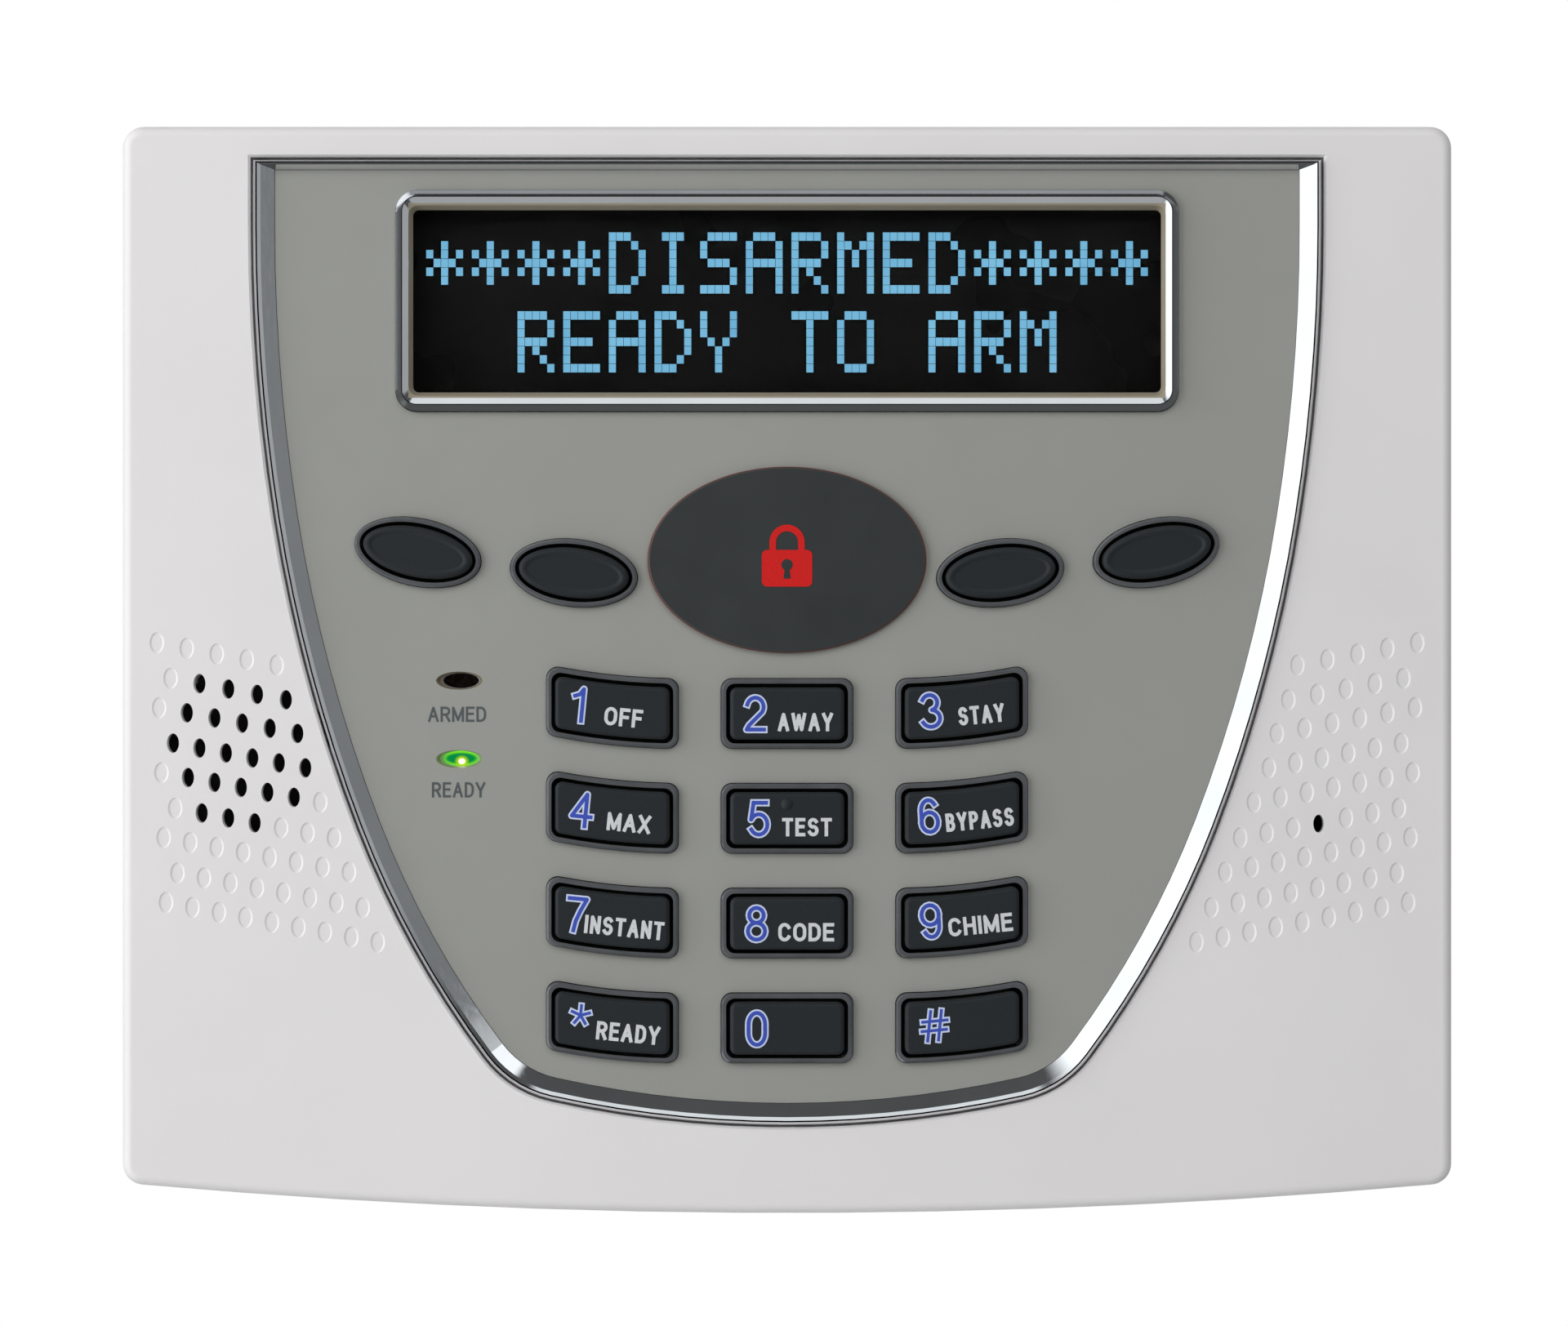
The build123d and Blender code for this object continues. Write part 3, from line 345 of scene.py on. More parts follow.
def emblem_lacquer():
    """Dark grey lacquer, with a thin brownish-red line painted round its rim for the glow of the backlit
    emblem's edge.
    """
    made = moulded_plastic("emblem_grey", tone(53, 56, 57), tone(49, 52, 53), 0.42, 0.2 * MM, 0.002 * MM)
    low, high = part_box("emblem_plate")
    reach = made.distance_from((low + high) / 2, (high.x - low.x) / 2, (high.z - low.z) / 2)
    # painted glow: a brownish-red band round the plate's rim stands in for the red light at the backlit edge
    painted_rim_glow = made.spread(reach, 0.982, 0.994)
    return made.colour(made.blend(painted_rim_glow, made.painted(), tone(96, 56, 50)))


def felted_can():
    """A microphone's drawn aluminium can with black felt, which has next to no gloss, over its front."""
    felt = tone(8, 8, 8)
    made = Finish("microphone_can", felt, 0.9, Specular_IOR_Level=0.08)
    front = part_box("microphone_capsule")[0].y
    bare = made.spread(made.along("Y"), front + FELT_DEPTH, front + FELT_DEPTH + 0.02 * MM)
    made.colour(made.blend(bare, felt, (0.7, 0.7, 0.71, 1)))
    made.roughness(made.spread(bare, 0, 1, 0.9, 0.3))
    made.metallic(bare)
    return made.bump(made.noise(0.5 * MM, 4, (0.06, 1, 1)), 0.003 * MM, 0.5)


def lit_pipe():
    """A light pipe with its lamp on: a hot white core in green, with bright edges above and below."""
    made = Finish("ready_glow", tone(10, 60, 20), 0.15, IOR=1.49)
    centre = centre_of("ready_light_pipe")
    hot_place = centre + Vector((0.1 * MM, 0, -0.38 * MM))
    reach = made.distance_from(hot_place, 1.0 * MM, 0.85 * MM)
    edge = made.distance_from(centre, 2.6 * MM, 0.9 * MM)
    green = made.blend(made.spread(edge, 0.66, 0.95), tone(0, 145, 70), tone(120, 235, 40))
    halo = made.blend(made.spread(reach, 0.45, 1.0), tone(190, 235, 20), green)
    core = made.spread(reach, 0.3, 0.5)
    made.glow(made.blend(core, tone(255, 255, 225), halo), made.spread(core, 0, 1, 2.5, 0.9))
    return made.bump(made.cells(0.3 * MM), 0.01 * MM, 0.4)


def unlit_pipe():
    """A light pipe with its lamp off: dark and slightly brown."""
    made = Finish("armed_dark", tone(30, 26, 22), 0.2, IOR=1.49)
    made.colour(made.clouded(0.8 * MM, 2, tone(18, 16, 13), tone(44, 38, 30)))
    return made.bump(made.cells(0.3 * MM), 0.01 * MM, 0.4)


def make_finishes():
    """Every finish on the object, by name."""
    return {
        "case": moulded_plastic("case_white", tone(233, 231, 232), tone(229, 227, 228), 0.42),
        "plate": moulded_plastic("plate_white", tone(224, 224, 221), tone(218, 218, 214), 0.5),
        "panel": face_plastic(),
        "trim": plated("trim_plating", (0.86, 0.86, 0.87, 1), (0.78, 0.78, 0.8, 1), 0.06),
        "bezel": bezel_plating(),
        "collar": smoked_plating(),
        "emblem": emblem_lacquer(),
        "key": rubber("key_rubber", tone(33, 38, 42), tone(28, 32, 36)),
        "mat": rubber("mat_rubber", tone(52, 54, 56), tone(40, 42, 44)),
        "lens": clear_lens(),
        "display": display_face(),
        "light_guide": moulded_plastic("light_guide", tone(214, 222, 230), tone(200, 210, 222), 0.4),
        "frame_sheet": brushed_metal("frame_sheet", (0.2, 0.2, 0.2, 1), (0.14, 0.14, 0.14, 1), 0.4),
        "board": circuit_laminate(),
        "solder": plated("solder", (0.7, 0.7, 0.69, 1), (0.56, 0.56, 0.55, 1), 0.25),
        "chip": moulded_plastic("chip_epoxy", tone(38, 38, 40), tone(30, 30, 32), 0.55,
                                0.12 * MM, 0.006 * MM),
        "can": brushed_metal("can_aluminium", (0.74, 0.74, 0.75, 1), (0.62, 0.62, 0.63, 1), 0.3),
        "terminal": moulded_plastic("terminal_green", tone(40, 110, 74), tone(34, 98, 66), 0.45),
        "screw": plated("screw_zinc", (0.66, 0.66, 0.64, 1), (0.5, 0.5, 0.48, 1), 0.28),
        "basket": brushed_metal("basket_steel", (0.5, 0.5, 0.49, 1), (0.36, 0.36, 0.35, 1), 0.34),
        "cone": moulded_plastic("cone_film", tone(44, 44, 46), tone(34, 34, 36), 0.5, 0.4 * MM, 0.02 * MM),
        "capsule": felted_can(),
        "magnet": brushed_metal("magnet_ferrite", (0.09, 0.09, 0.09, 1), (0.06, 0.06, 0.06, 1), 0.5),
        "foam": rubber("foam_black", tone(34, 34, 34), tone(22, 22, 22)),
        "socket": moulded_plastic("socket_nylon", tone(222, 216, 198), tone(212, 204, 184), 0.42),
        "lead": rubber("lead_red", tone(168, 28, 24), tone(140, 20, 18)),
        "ready_pipe": lit_pipe(),
        "armed_pipe": unlit_pipe(),
        "armed_lamp": moulded_plastic("lamp_red", tone(150, 40, 34), tone(130, 30, 26), 0.2),
        "ready_lamp": moulded_plastic("lamp_green", tone(70, 200, 50), tone(60, 180, 40), 0.2),
        "ink_white": printed_ink("ink_white", tone(214, 217, 220)),
        "ink_pale": printed_ink("ink_pale", tone(208, 219, 245)),
        "ink_blue": printed_ink("ink_blue", tone(62, 84, 186)),
        "ink_grey": printed_ink("ink_grey", tone(84, 90, 93)),
        "ink_red": printed_ink("ink_red", tone(214, 32, 30), 0.35),
        "dots": lit_dots(),
    }


# ---------------------------------------------------------------- CAD pieces
def dress_cad_pieces(finishes):
    """Gives every carried-over CAD piece its finish."""
    chosen = {
        "front_cover": "case", "wall_plate": "plate", "face_panel": "panel", "chrome_trim": "trim",
        "display_bezel": "bezel", "display_window": "lens", "emblem_plate": "emblem",
        "number_key_collars": "collar", "function_key_collars": "collar", "keypad_mat": "mat",
        "lcd_frame": "frame_sheet", "lcd_glass": "display", "lcd_backlight": "light_guide",
        "lcd_board": "board", "main_board": "board", "lcd_jumpers": "solder",
        "processor_chip": "chip", "voice_chip": "chip", "capacitors": "can", "crystal": "can",
        "terminal_block": "terminal", "terminal_screws": "screw", "board_screws": "screw",
        "speaker_basket": "basket", "speaker_cone": "cone", "speaker_magnet": "magnet",
        "speaker_gasket": "foam", "speaker_screws": "screw", "speaker_socket": "socket",
        "speaker_leads": "lead", "microphone_capsule": "capsule", "microphone_boot": "mat",
        "armed_light_pipe": "armed_pipe", "ready_light_pipe": "ready_pipe",
        "armed_lamp": "armed_lamp", "ready_lamp": "ready_lamp",
    }
    for name in NUMBER_KEYS:
        chosen[f"key_{name}"] = "key"
    for name in FUNCTION_KEYS:
        chosen[f"function_key_{name}"] = "key"
    for node, finish in chosen.items():
        for slot in NODES[node].material_slots:
            slot.material = finishes[finish].material


# ---------------------------------------------------------------- small pieces
def add_piece(name, mesh, finish, body):
    """Puts a finished mesh in the scene on its body."""
    piece = bpy.data.objects.new(name, mesh)
    bpy.context.scene.collection.objects.link(piece)
    mesh.materials.clear()
    mesh.materials.append(finish.material)
    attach(piece, body)


def mesh_of(name, fill):
    """A mesh made by a function that fills a bmesh."""
    work = bmesh.new()
    fill(work)
    mesh = bpy.data.meshes.new(name)
    work.to_mesh(mesh)
    work.free()
    return mesh


def add_prism(work, outline, y_back, y_front, bevel=0.0):
    """Adds a closed outline of (x, z) points, drawn out from y_back to y_front, edges eased by bevel."""
    back = [work.verts.new((x, y_back, z)) for x, z in outline]
    front = [work.verts.new((x, y_front, z)) for x, z in outline]
    faces = [work.faces.new(list(reversed(back))), work.faces.new(front)]
    for i in range(len(outline)):
        j = (i + 1) % len(outline)
        faces.append(work.faces.new((back[i], back[j], front[j], front[i])))
    bmesh.ops.recalc_face_normals(work, faces=faces)
    if bevel:
        edges = list(faces[1].edges)
        bmesh.ops.bevel(work, geom=edges, offset=bevel, segments=2, affect="EDGES", profile=0.5)


def prism_mesh(name, outlines, y_back, y_front, bevel=0.0):
    """A mesh of closed outlines, all drawn out from y_back to y_front."""
    def fill(work):
        for outline in outlines:
            add_prism(work, outline, y_back, y_front, bevel)

    return mesh_of(name, fill)


def rounded_outline(centre_x, centre_z, width, height, radius, steps=6):
    """The (x, z) outline of a rounded rectangle."""
    points = []
    corners = ((1, 1, 0), (-1, 1, 90), (-1, -1, 180), (1, -1, 270))
    for side_x, side_z, start in corners:
        x = centre_x + side_x * (width / 2 - radius)
        z = centre_z + side_z * (height / 2 - radius)
        for i in range(steps + 1):
            angle = math.radians(start + 90 * i / steps)
            points.append((x + radius * math.cos(angle), z + radius * math.sin(angle)))
    return points


def box_outline(centre_x, centre_z, width, height):
    """The (x, z) outline of a rectangle."""
    return [(centre_x + side_x * width / 2, centre_z + side_z * height / 2)
            for side_x, side_z in ((-1, -1), (1, -1), (1, 1), (-1, 1))]


def disc_outline(centre_x, centre_z, radius, steps):
    """The (x, z) outline of a disc."""
    turn = 2 * math.pi / steps
    return [(centre_x + radius * math.cos(turn * i), centre_z + radius * math.sin(turn * i))
            for i in range(steps)]


# ---------------------------------------------------------------- lettering
def bow(centre_x, centre_z, across, up, start, end, steps=16):
    """Points on an ellipse's arc, from start to end degrees."""
    turns = [math.radians(start + (end - start) * i / steps) for i in range(steps + 1)]
    return [(centre_x + across * math.cos(t), centre_z + up * math.sin(t)) for t in turns]


OVAL = [*bow(0.5, 0.64, 0.5, 0.36, 0, 180), *bow(0.5, 0.36, 0.5, 0.36, 180, 360), (1, 0.64)]
P_BOW = [(0, 0.47), (0, 1), *bow(0.5, 0.735, 0.5, 0.265, 90, -90), (0, 0.47)]
STEM = [(0, 0), (0, 1)]
# Each character's width against an E's, and its strokes' middle lines in a box one wide and one high.
CHARACTER_STROKES = {
    "A": (1.3, [[(0, 0), (0.5, 1), (1, 0)], [(0.19, 0.34), (0.81, 0.34)]]),
    "B": (1.1, [[(0, 0.53), (0, 1), *bow(0.5, 0.765, 0.42, 0.235, 90, -90), (0, 0.53)],
                [(0, 0.53), (0, 0), *bow(0.5, 0.265, 0.5, 0.265, -90, 90), (0, 0.53)]]),
    "C": (1.2, [[*bow(0.5, 0.66, 0.5, 0.34, 28, 180), *bow(0.5, 0.34, 0.5, 0.34, 180, 332)]]),
    "D": (1.15, [[(0, 0), (0, 1), *bow(0.4, 0.6, 0.6, 0.4, 90, 0),
                  *bow(0.4, 0.4, 0.6, 0.4, 0, -90), (0, 0)]]),
    "E": (1.0, [[(1, 1), (0, 1), (0, 0), (1, 0)], [(0, 0.53), (0.88, 0.53)]]),
    "F": (0.95, [[(1, 1), (0, 1), (0, 0)], [(0, 0.51), (0.86, 0.51)]]),
    "H": (1.15, [STEM, [(1, 0), (1, 1)], [(0, 0.52), (1, 0.52)]]),
    "I": (0.0, [STEM]),
    "M": (1.5, [[(0, 0), (0, 1), (0.5, 0.06), (1, 1), (1, 0)]]),
    "N": (1.15, [[(0, 0), (0, 1), (1, 0), (1, 1)]]),
    "O": (1.25, [OVAL]),
    "P": (1.1, [STEM, P_BOW]),
    "R": (1.15, [STEM, P_BOW, [(0.55, 0.47), (1, 0)]]),
    "S": (1.15, [[*bow(0.5, 0.755, 0.46, 0.245, 30, 260), *bow(0.5, 0.265, 0.5, 0.265, 85, -155)]]),
    "T": (1.15, [[(0, 1), (1, 1)], [(0.5, 1), (0.5, 0)]]),
    "W": (1.9, [[(0, 1), (0.26, 0), (0.5, 0.94), (0.74, 0), (1, 1)]]),
    "X": (1.25, [[(0, 0), (1, 1)], [(0, 1), (1, 0)]]),
    "Y": (1.25, [[(0, 1), (0.5, 0.42), (1, 1)], [(0.5, 0.42), (0.5, 0)]]),
    "0": (1.0, [OVAL]),
    "1": (0.6, [[(0, 0.77), (0.5, 0.83), (0.85, 1), (0.85, 0)]]),
    "2": (1.0, [[*bow(0.5, 0.71, 0.48, 0.29, 165, -35), (0.15, 0.14), (0, 0), (1, 0)]]),
    "3": (1.0, [[*bow(0.48, 0.76, 0.44, 0.24, 155, -75), *bow(0.48, 0.265, 0.52, 0.265, 80, -155)]]),
    "4": (1.1, [[(0.72, 0), (0.72, 1), (0, 0.3), (1, 0.3)]]),
    "5": (1.0, [[(0.92, 1), (0.2, 1), *bow(0.5, 0.32, 0.5, 0.32, 152, -150)]]),
    "6": (1.0, [[*bow(0.5, 0.66, 0.46, 0.34, 35, 180), (0.02, 0.34)],
                [*bow(0.5, 0.31, 0.5, 0.31, 0, 360)]]),
    "7": (1.0, [[(0, 1), (1, 1), (0.68, 0.62), (0.47, 0.3), (0.38, 0)]]),
    "8": (1.0, [[*bow(0.5, 0.765, 0.42, 0.235, 0, 360)], [*bow(0.5, 0.265, 0.5, 0.265, 0, 360)]]),
    "9": (1.0, [[*bow(0.5, 0.69, 0.5, 0.31, 0, 360)],
                [*bow(0.5, 0.34, 0.46, 0.34, -145, 0), (0.98, 0.66)]]),
    "*": (1.0, [[(0.5, 0.45), (0.5 + 0.5 * math.cos(t), 0.45 + 0.55 * math.sin(t))]
                for t in (math.radians(90 + 72 * i) for i in range(5))]),
    "#": (1.4, [[(0.18, 0), (0.4, 1)], [(0.6, 0), (0.82, 1)], [(0.06, 0.66), (1, 0.66)],
                [(0, 0.34), (0.94, 0.34)]]),
}
SHARP_TURN = math.radians(100)   # a stroke that turns further than this gets a round elbow
LAYER = 0.0006 * MM              # where bands of a stroke cross, they stand apart by this much
STROKE_LAYERS = 8                # and strokes of a character by this many layers
LETTER_GAP = 0.12                # clear space between letters, as a share of their height


def heading(first, second):
    """The direction from one (x, z) point to another, in radians."""
    return math.atan2(second[1] - first[1], second[0] - first[0])


def turn_between(into, out):
    """The turn from one heading to another, from -pi to pi."""
    return (out - into + math.pi) % (2 * math.pi) - math.pi


def is_closed(path):
    """Whether a path ends where it starts."""
    return math.dist(path[0], path[-1]) < 1e-3 * MM


def square_ended(path, amount):
    """The path with each open end moved out by amount; a closed path stays as it is."""
    if is_closed(path):
        return path
    ends = []
    for end, inner in ((path[0], path[1]), (path[-1], path[-2])):
        away = heading(inner, end)
        ends.append((end[0] + amount * math.cos(away), end[1] + amount * math.sin(away)))
    return [ends[0], *path[1:-1], ends[1]]


def add_ribbon(work, path, half_w, y_back, y_front):
    """Adds a flat band along a path of (x, z) points, half_w to each side of it."""
    ways = [heading(first, second) for first, second in zip(path, path[1:])]
    closed = is_closed(path)
    if closed:
        path = path[:-1]
        arriving = ways[-1:] + ways[:-1]
        leaving = ways
    else:
        arriving = ways[:1] + ways
        leaving = ways + ways[-1:]
    rings = []
    for (x, z), into, out in zip(path, arriving, leaving):
        bend = turn_between(into, out)
        normal = into + bend / 2 + math.pi / 2
        reach = half_w / math.cos(bend / 2)
        dx = reach * math.cos(normal)
        dz = reach * math.sin(normal)
        corners = ((x + dx, y_back, z + dz), (x + dx, y_front, z + dz),
                   (x - dx, y_front, z - dz), (x - dx, y_back, z - dz))
        rings.append([work.verts.new(corner) for corner in corners])
    pairs = list(zip(rings, rings[1:]))
    if closed:
        pairs.append((rings[-1], rings[0]))
    faces = [work.faces.new((here[k], here[k + 1], there[k + 1], there[k]))
             for here, there in pairs for k in range(3)]
    if not closed:
        faces += [work.faces.new(rings[0]), work.faces.new(rings[-1])]
    bmesh.ops.recalc_face_normals(work, faces=faces)


def add_stroke(work, path, half_w, y_back, y_front):
    """Adds a stroke, split at sharp turns with a round elbow over each."""
    start = 0
    for i in range(1, len(path) - 1):
        turn = turn_between(heading(path[i - 1], path[i]), heading(path[i], path[i + 1]))
        if abs(turn) > SHARP_TURN:
            add_ribbon(work, path[start:i + 1], half_w, y_back, y_front)
            add_prism(work, disc_outline(*path[i], half_w, steps=20), y_back, y_front - LAYER)
            y_front -= 2 * LAYER
            start = i
    add_ribbon(work, path[start:], half_w, y_back, y_front)


def lettering(words, width, height, half_w, edge, thickness):
    """A raised legend, width by height over all, centred on the origin and standing out along -Y.

    Its strokes are half_w to each side of their middle lines, less a margin of edge all round.
    """
    cap = height - 2 * half_w
    gap = LETTER_GAP * height
    shares = [CHARACTER_STROKES[letter][0] for letter in words]
    spare = width - 2 * half_w * len(words) - gap * (len(words) - 1)
    unit = spare / sum(shares)

    def fill(work):
        x = half_w - width / 2
        for letter, share in zip(words, shares):
            for layer, stroke in enumerate(CHARACTER_STROKES[letter][1]):
                path = [(x + across * share * unit, (up - 0.5) * cap) for across, up in stroke]
                path = square_ended(path, half_w - edge)
                y_front = -thickness - layer * STROKE_LAYERS * LAYER
                add_stroke(work, path, half_w - edge, 0.0, y_front)
            x += share * unit + 2 * half_w + gap

    return mesh_of(words, fill)


def place_legend(mesh, x, y, z, slope):
    """Moves a legend's points to its place on a face, turned by slope degrees."""
    turn = Matrix.Rotation(math.radians(-slope), 4, "Y")
    mesh.transform(Matrix.Translation((x, y, z)) @ turn)


# The key's mark with its width and place across in mm, then its word with the same.
LEGENDS = {
    "1": ("1", 2.2, -4.3, "OFF", 5.0, 1.5),
    "2": ("2", 3.2, -4.15, "AWAY", 7.2, 2.4),
    "3": ("3", 3.2, -4.1, "STAY", 6.0, 2.5),
    "4": ("4", 3.4, -3.95, "MAX", 5.7, 2.2),
    "5": ("5", 3.2, -3.7, "TEST", 6.5, 2.6),
    "6": ("6", 3.1, -4.3, "BYPASS", 8.9, 2.3),
    "7": ("7", 3.2, -4.6, "INSTANT", 10.4, 1.6),
    "8": ("8", 3.2, -4.0, "CODE", 7.3, 2.5),
    "9": ("9", 3.2, -4.1, "CHIME", 8.4, 2.4),
    "star": ("*", 3.2, -4.1, "READY", 8.3, 2.1),
    "0": ("0", 3.1, -3.95, "", 0, 0),
    "pound": ("#", 4.2, -3.6, "", 0, 0),
}
DIGIT_H = 5.1 * MM
DIGIT_HALF_W = 0.47 * MM         # half the width of a stroke
SIGN_H = {"*": 3.1 * MM, "#": 4.6 * MM}
SIGN_HALF_W = 0.41 * MM
MARK_EDGE = 0.22 * MM            # width of the pale edge round a blue mark
STAR_RISE = 0.75 * MM            # the star stands higher than the digits' middle
WORD_H = 2.4 * MM
WORD_HALF_W = 0.225 * MM
WORD_DROP = 1.1 * MM             # and the words lower
# For each lamp's light pipe: its word, the word's width, shift to the right and drop, in mm.
LAMP_LABELS = {
    "armed_light_pipe": ("ARMED", 7.6, -0.3, 4.4),
    "ready_light_pipe": ("READY", 7.0, -0.1, 4.05),
}
LABEL_H = 2.0 * MM
LABEL_HALF_W = 0.15 * MM


def make_key_legends(finishes):
    """A pale-edged blue mark and a small word on each number key."""
    face_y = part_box("key_2")[0].y
    for i, name in enumerate(NUMBER_KEYS):
        mark, mark_w, mark_x, words, words_w, words_x = LEGENDS[name]
        slope = (i % 3 - 1) * ROW_SLOPE
        lean = math.tan(math.radians(slope))
        centre = centre_of(f"key_{name}")
        height = SIGN_H.get(mark, DIGIT_H)
        half_w = SIGN_HALF_W if mark in SIGN_H else DIGIT_HALF_W
        mark_z = centre.z + mark_x * MM * lean + (STAR_RISE if mark == "*" else 0.0)
        layers = (("edge", 0.0, INK, "ink_pale"), ("fill", MARK_EDGE, 2 * INK, "ink_blue"))
        for layer, edge, thickness, finish in layers:
            mesh = lettering(mark, mark_w * MM, height, half_w, edge, thickness)
            place_legend(mesh, centre.x + mark_x * MM, face_y, mark_z, slope)
            add_piece(f"mark_{layer}_{name}", mesh, finishes[finish], f"key_{name}")
        if words:
            word_z = centre.z - WORD_DROP + words_x * MM * lean
            mesh = lettering(words, words_w * MM, WORD_H, WORD_HALF_W, 0.0, INK)
            place_legend(mesh, centre.x + words_x * MM, face_y, word_z, slope)
            add_piece(f"word_{name}", mesh, finishes["ink_white"], f"key_{name}")


def make_lamp_labels(finishes):
    """The word under each status lamp."""
    face_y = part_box("face_panel")[0].y
    for node, (words, width, shift, drop) in LAMP_LABELS.items():
        centre = centre_of(node)
        mesh = lettering(words, width * MM, LABEL_H, LABEL_HALF_W, 0.0, INK)
        place_legend(mesh, centre.x + shift * MM, face_y, centre.z - drop * MM, 0)
        add_piece(f"label_{words.lower()}", mesh, finishes["ink_grey"], "front")


# ---------------------------------------------------------------- parts inside the case
# Rows of surface-mounted chips on the board's back, in mm: first x and z, step along x, count.
CHIP_ROWS = [(23.4, -7.2, 2.6, 6), (-25.5, -10.0, 2.6, 4), (-25.5, -13.0, 2.6, 4), (12.8, -22.0, 2.6, 3),
             (-28.5, -29.5, 2.8, 5), (-12.0, 2.0, 2.6, 10), (-12.0, 14.5, 3.2, 6), (44.0, 1.5, 2.6, 8)]
CHIP_W = 0.85 * MM
CHIP_L = 1.6 * MM
CHIP_T = 0.5 * MM
CHIP_CORNER_R = 0.05 * MM
CHIP_EDGE = 0.04 * MM            # its eased top edges
CAP_L = 0.35 * MM                # the tinned end caps of a surface-mounted chip
CAP_RISE = 0.02 * MM             # and how far they stand above its body
PILL_R = 1.9 * MM
PILL_T = 0.2 * MM
PILL_EDGE = 0.05 * MM
JOINT_R = 0.75 * MM              # foot of a solder joint
JOINT_TIP_R = 0.225 * MM
JOINT_H = 0.7 * MM
LEAD_SPACING = 2.54 * MM


def chip_places():
    """Where each surface-mounted chip's middle is, in metres."""
    for first_x, z, step, count in CHIP_ROWS:
        for i in range(count):
            yield (first_x + i * step) * MM, z * MM


def make_board_parts(finishes):
    """Surface-mounted chips, and the solder joints of the parts whose leads come through the board."""
    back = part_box("main_board")[1].y
    bodies = [rounded_outline(x, z, CHIP_W, CHIP_L - 2 * CAP_L, CHIP_CORNER_R, steps=2)
              for x, z in chip_places()]
    caps = [rounded_outline(x, z + side * (CHIP_L - CAP_L) / 2, CHIP_W, CAP_L, CHIP_CORNER_R, steps=2)
            for x, z in chip_places() for side in (-1, 1)]

    def fill_joints(work):
        for node in ("armed_lamp", "ready_lamp", "microphone_capsule"):
            middle = centre_of(node)
            for side in (-1, 1):
                spot = Matrix.Translation((middle.x + side * LEAD_SPACING / 2, back + JOINT_H / 2, middle.z))
                turn = Matrix.Rotation(math.radians(-90), 4, "X")
                bmesh.ops.create_cone(work, cap_ends=True, segments=20, radius1=JOINT_R,
                                      radius2=JOINT_TIP_R, depth=JOINT_H, matrix=spot @ turn)

    body_mesh = prism_mesh("chip_bodies", bodies, back, back + CHIP_T, CHIP_EDGE)
    cap_mesh = prism_mesh("chip_caps", caps, back, back + CHIP_T + CAP_RISE, CHIP_EDGE)
    joint_mesh = mesh_of("solder_joints", fill_joints)
    add_piece("chip_bodies", body_mesh, finishes["chip"], "front")
    add_piece("chip_caps", cap_mesh, finishes["solder"], "front")
    add_piece("solder_joints", joint_mesh, finishes["solder"], "front")


def make_contact_pills(finishes):
    """The carbon pill on the end of each key's plunger."""
    for name in [f"key_{n}" for n in NUMBER_KEYS] + [f"function_key_{n}" for n in FUNCTION_KEYS]:
        centre = centre_of(name)
        end_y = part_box(name)[1].y
        disc = disc_outline(centre.x, centre.z, PILL_R, steps=28)
        mesh = prism_mesh(f"pill_{name}", [disc], end_y, end_y + PILL_T, PILL_EDGE)
        add_piece(f"pill_{name}", mesh, finishes["foam"], name)


# ---------------------------------------------------------------- display
# Standard five by seven dot characters, seven rows of five dots each, from the top.
CHARACTER_ROWS = {
    "*": "00000 00100 10101 01110 10101 00100 00000",
    "D": "11100 10010 10001 10001 10001 10010 11100",
    "I": "01110 00100 00100 00100 00100 00100 01110",
    "S": "01111 10000 10000 01110 00001 00001 11110",
    "A": "01110 10001 10001 11111 10001 10001 10001",
    "R": "11110 10001 10001 11110 10100 10010 10001",
    "M": "10001 11011 10101 10101 10001 10001 10001",
    "E": "11111 10000 10000 11110 10000 10000 11111",
    "Y": "10001 10001 10001 01010 00100 00100 00100",
    "T": "11111 00100 00100 00100 00100 00100 00100",
    "O": "01110 10001 10001 10001 10001 10001 01110",
    " ": "00000 00000 00000 00000 00000 00000 00000",
}
DISPLAY_LINES = ["****DISARMED****", "  READY TO ARM  "]


def lit_places(letter):
    """The column and row of each lit dot of a character, from its top left."""
    for row, dots in enumerate(CHARACTER_ROWS[letter].split()):
        for column, dot in enumerate(dots):
            if dot == "1":
                yield column, row


def make_display_dots(finishes):
    """The lit dots of both display lines, as small raised tiles on the glass."""
    middle = centre_of("lcd_glass")
    glass_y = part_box("lcd_glass")[0].y
    first_x = middle.x - ((CHARACTERS - 1) * CHARACTER_PITCH + 4 * DOT_PITCH_X) / 2
    tiles = []
    for line, words in enumerate(DISPLAY_LINES):
        for place, letter in enumerate(words):
            for column, row in lit_places(letter):
                x = first_x + place * CHARACTER_PITCH + column * DOT_PITCH_X
                z = middle.z + TOP_DOTS_Z - line * LINE_PITCH - row * DOT_PITCH_Z
                tiles.append(box_outline(x, z, DOT_W, DOT_H))
    mesh = prism_mesh("display_dots", tiles, glass_y, glass_y - INK)
    add_piece("display_dots", mesh, finishes["dots"], "front")


# ---------------------------------------------------------------- emblem
LOCK_W = 6.6 * MM
LOCK_H = 4.8 * MM
LOCK_CORNER_R = 0.7 * MM
LOCK_DROP = 1.1 * MM             # the lock's body is this far below the plate's middle
SHACKLE_R = 2.3 * MM             # outside of the shackle's half circle
SHACKLE_LEG = 1.0 * MM
SHACKLE_BAR = 0.85 * MM
KEYHOLE_R = 0.75 * MM
KEYHOLE_Z = 0.45 * MM            # its round part above the lock's middle
SLOT_TOP = (0.28 * MM, 0.1 * MM)          # half-width and height of the slot's top end
SLOT_FOOT = (0.48 * MM, -1.35 * MM)       # and of its foot
SIGN_T = 2 * INK
KEYHOLE_T = 3 * INK
SLOT_T = 3.01 * INK              # a shade more than the round part that it crosses


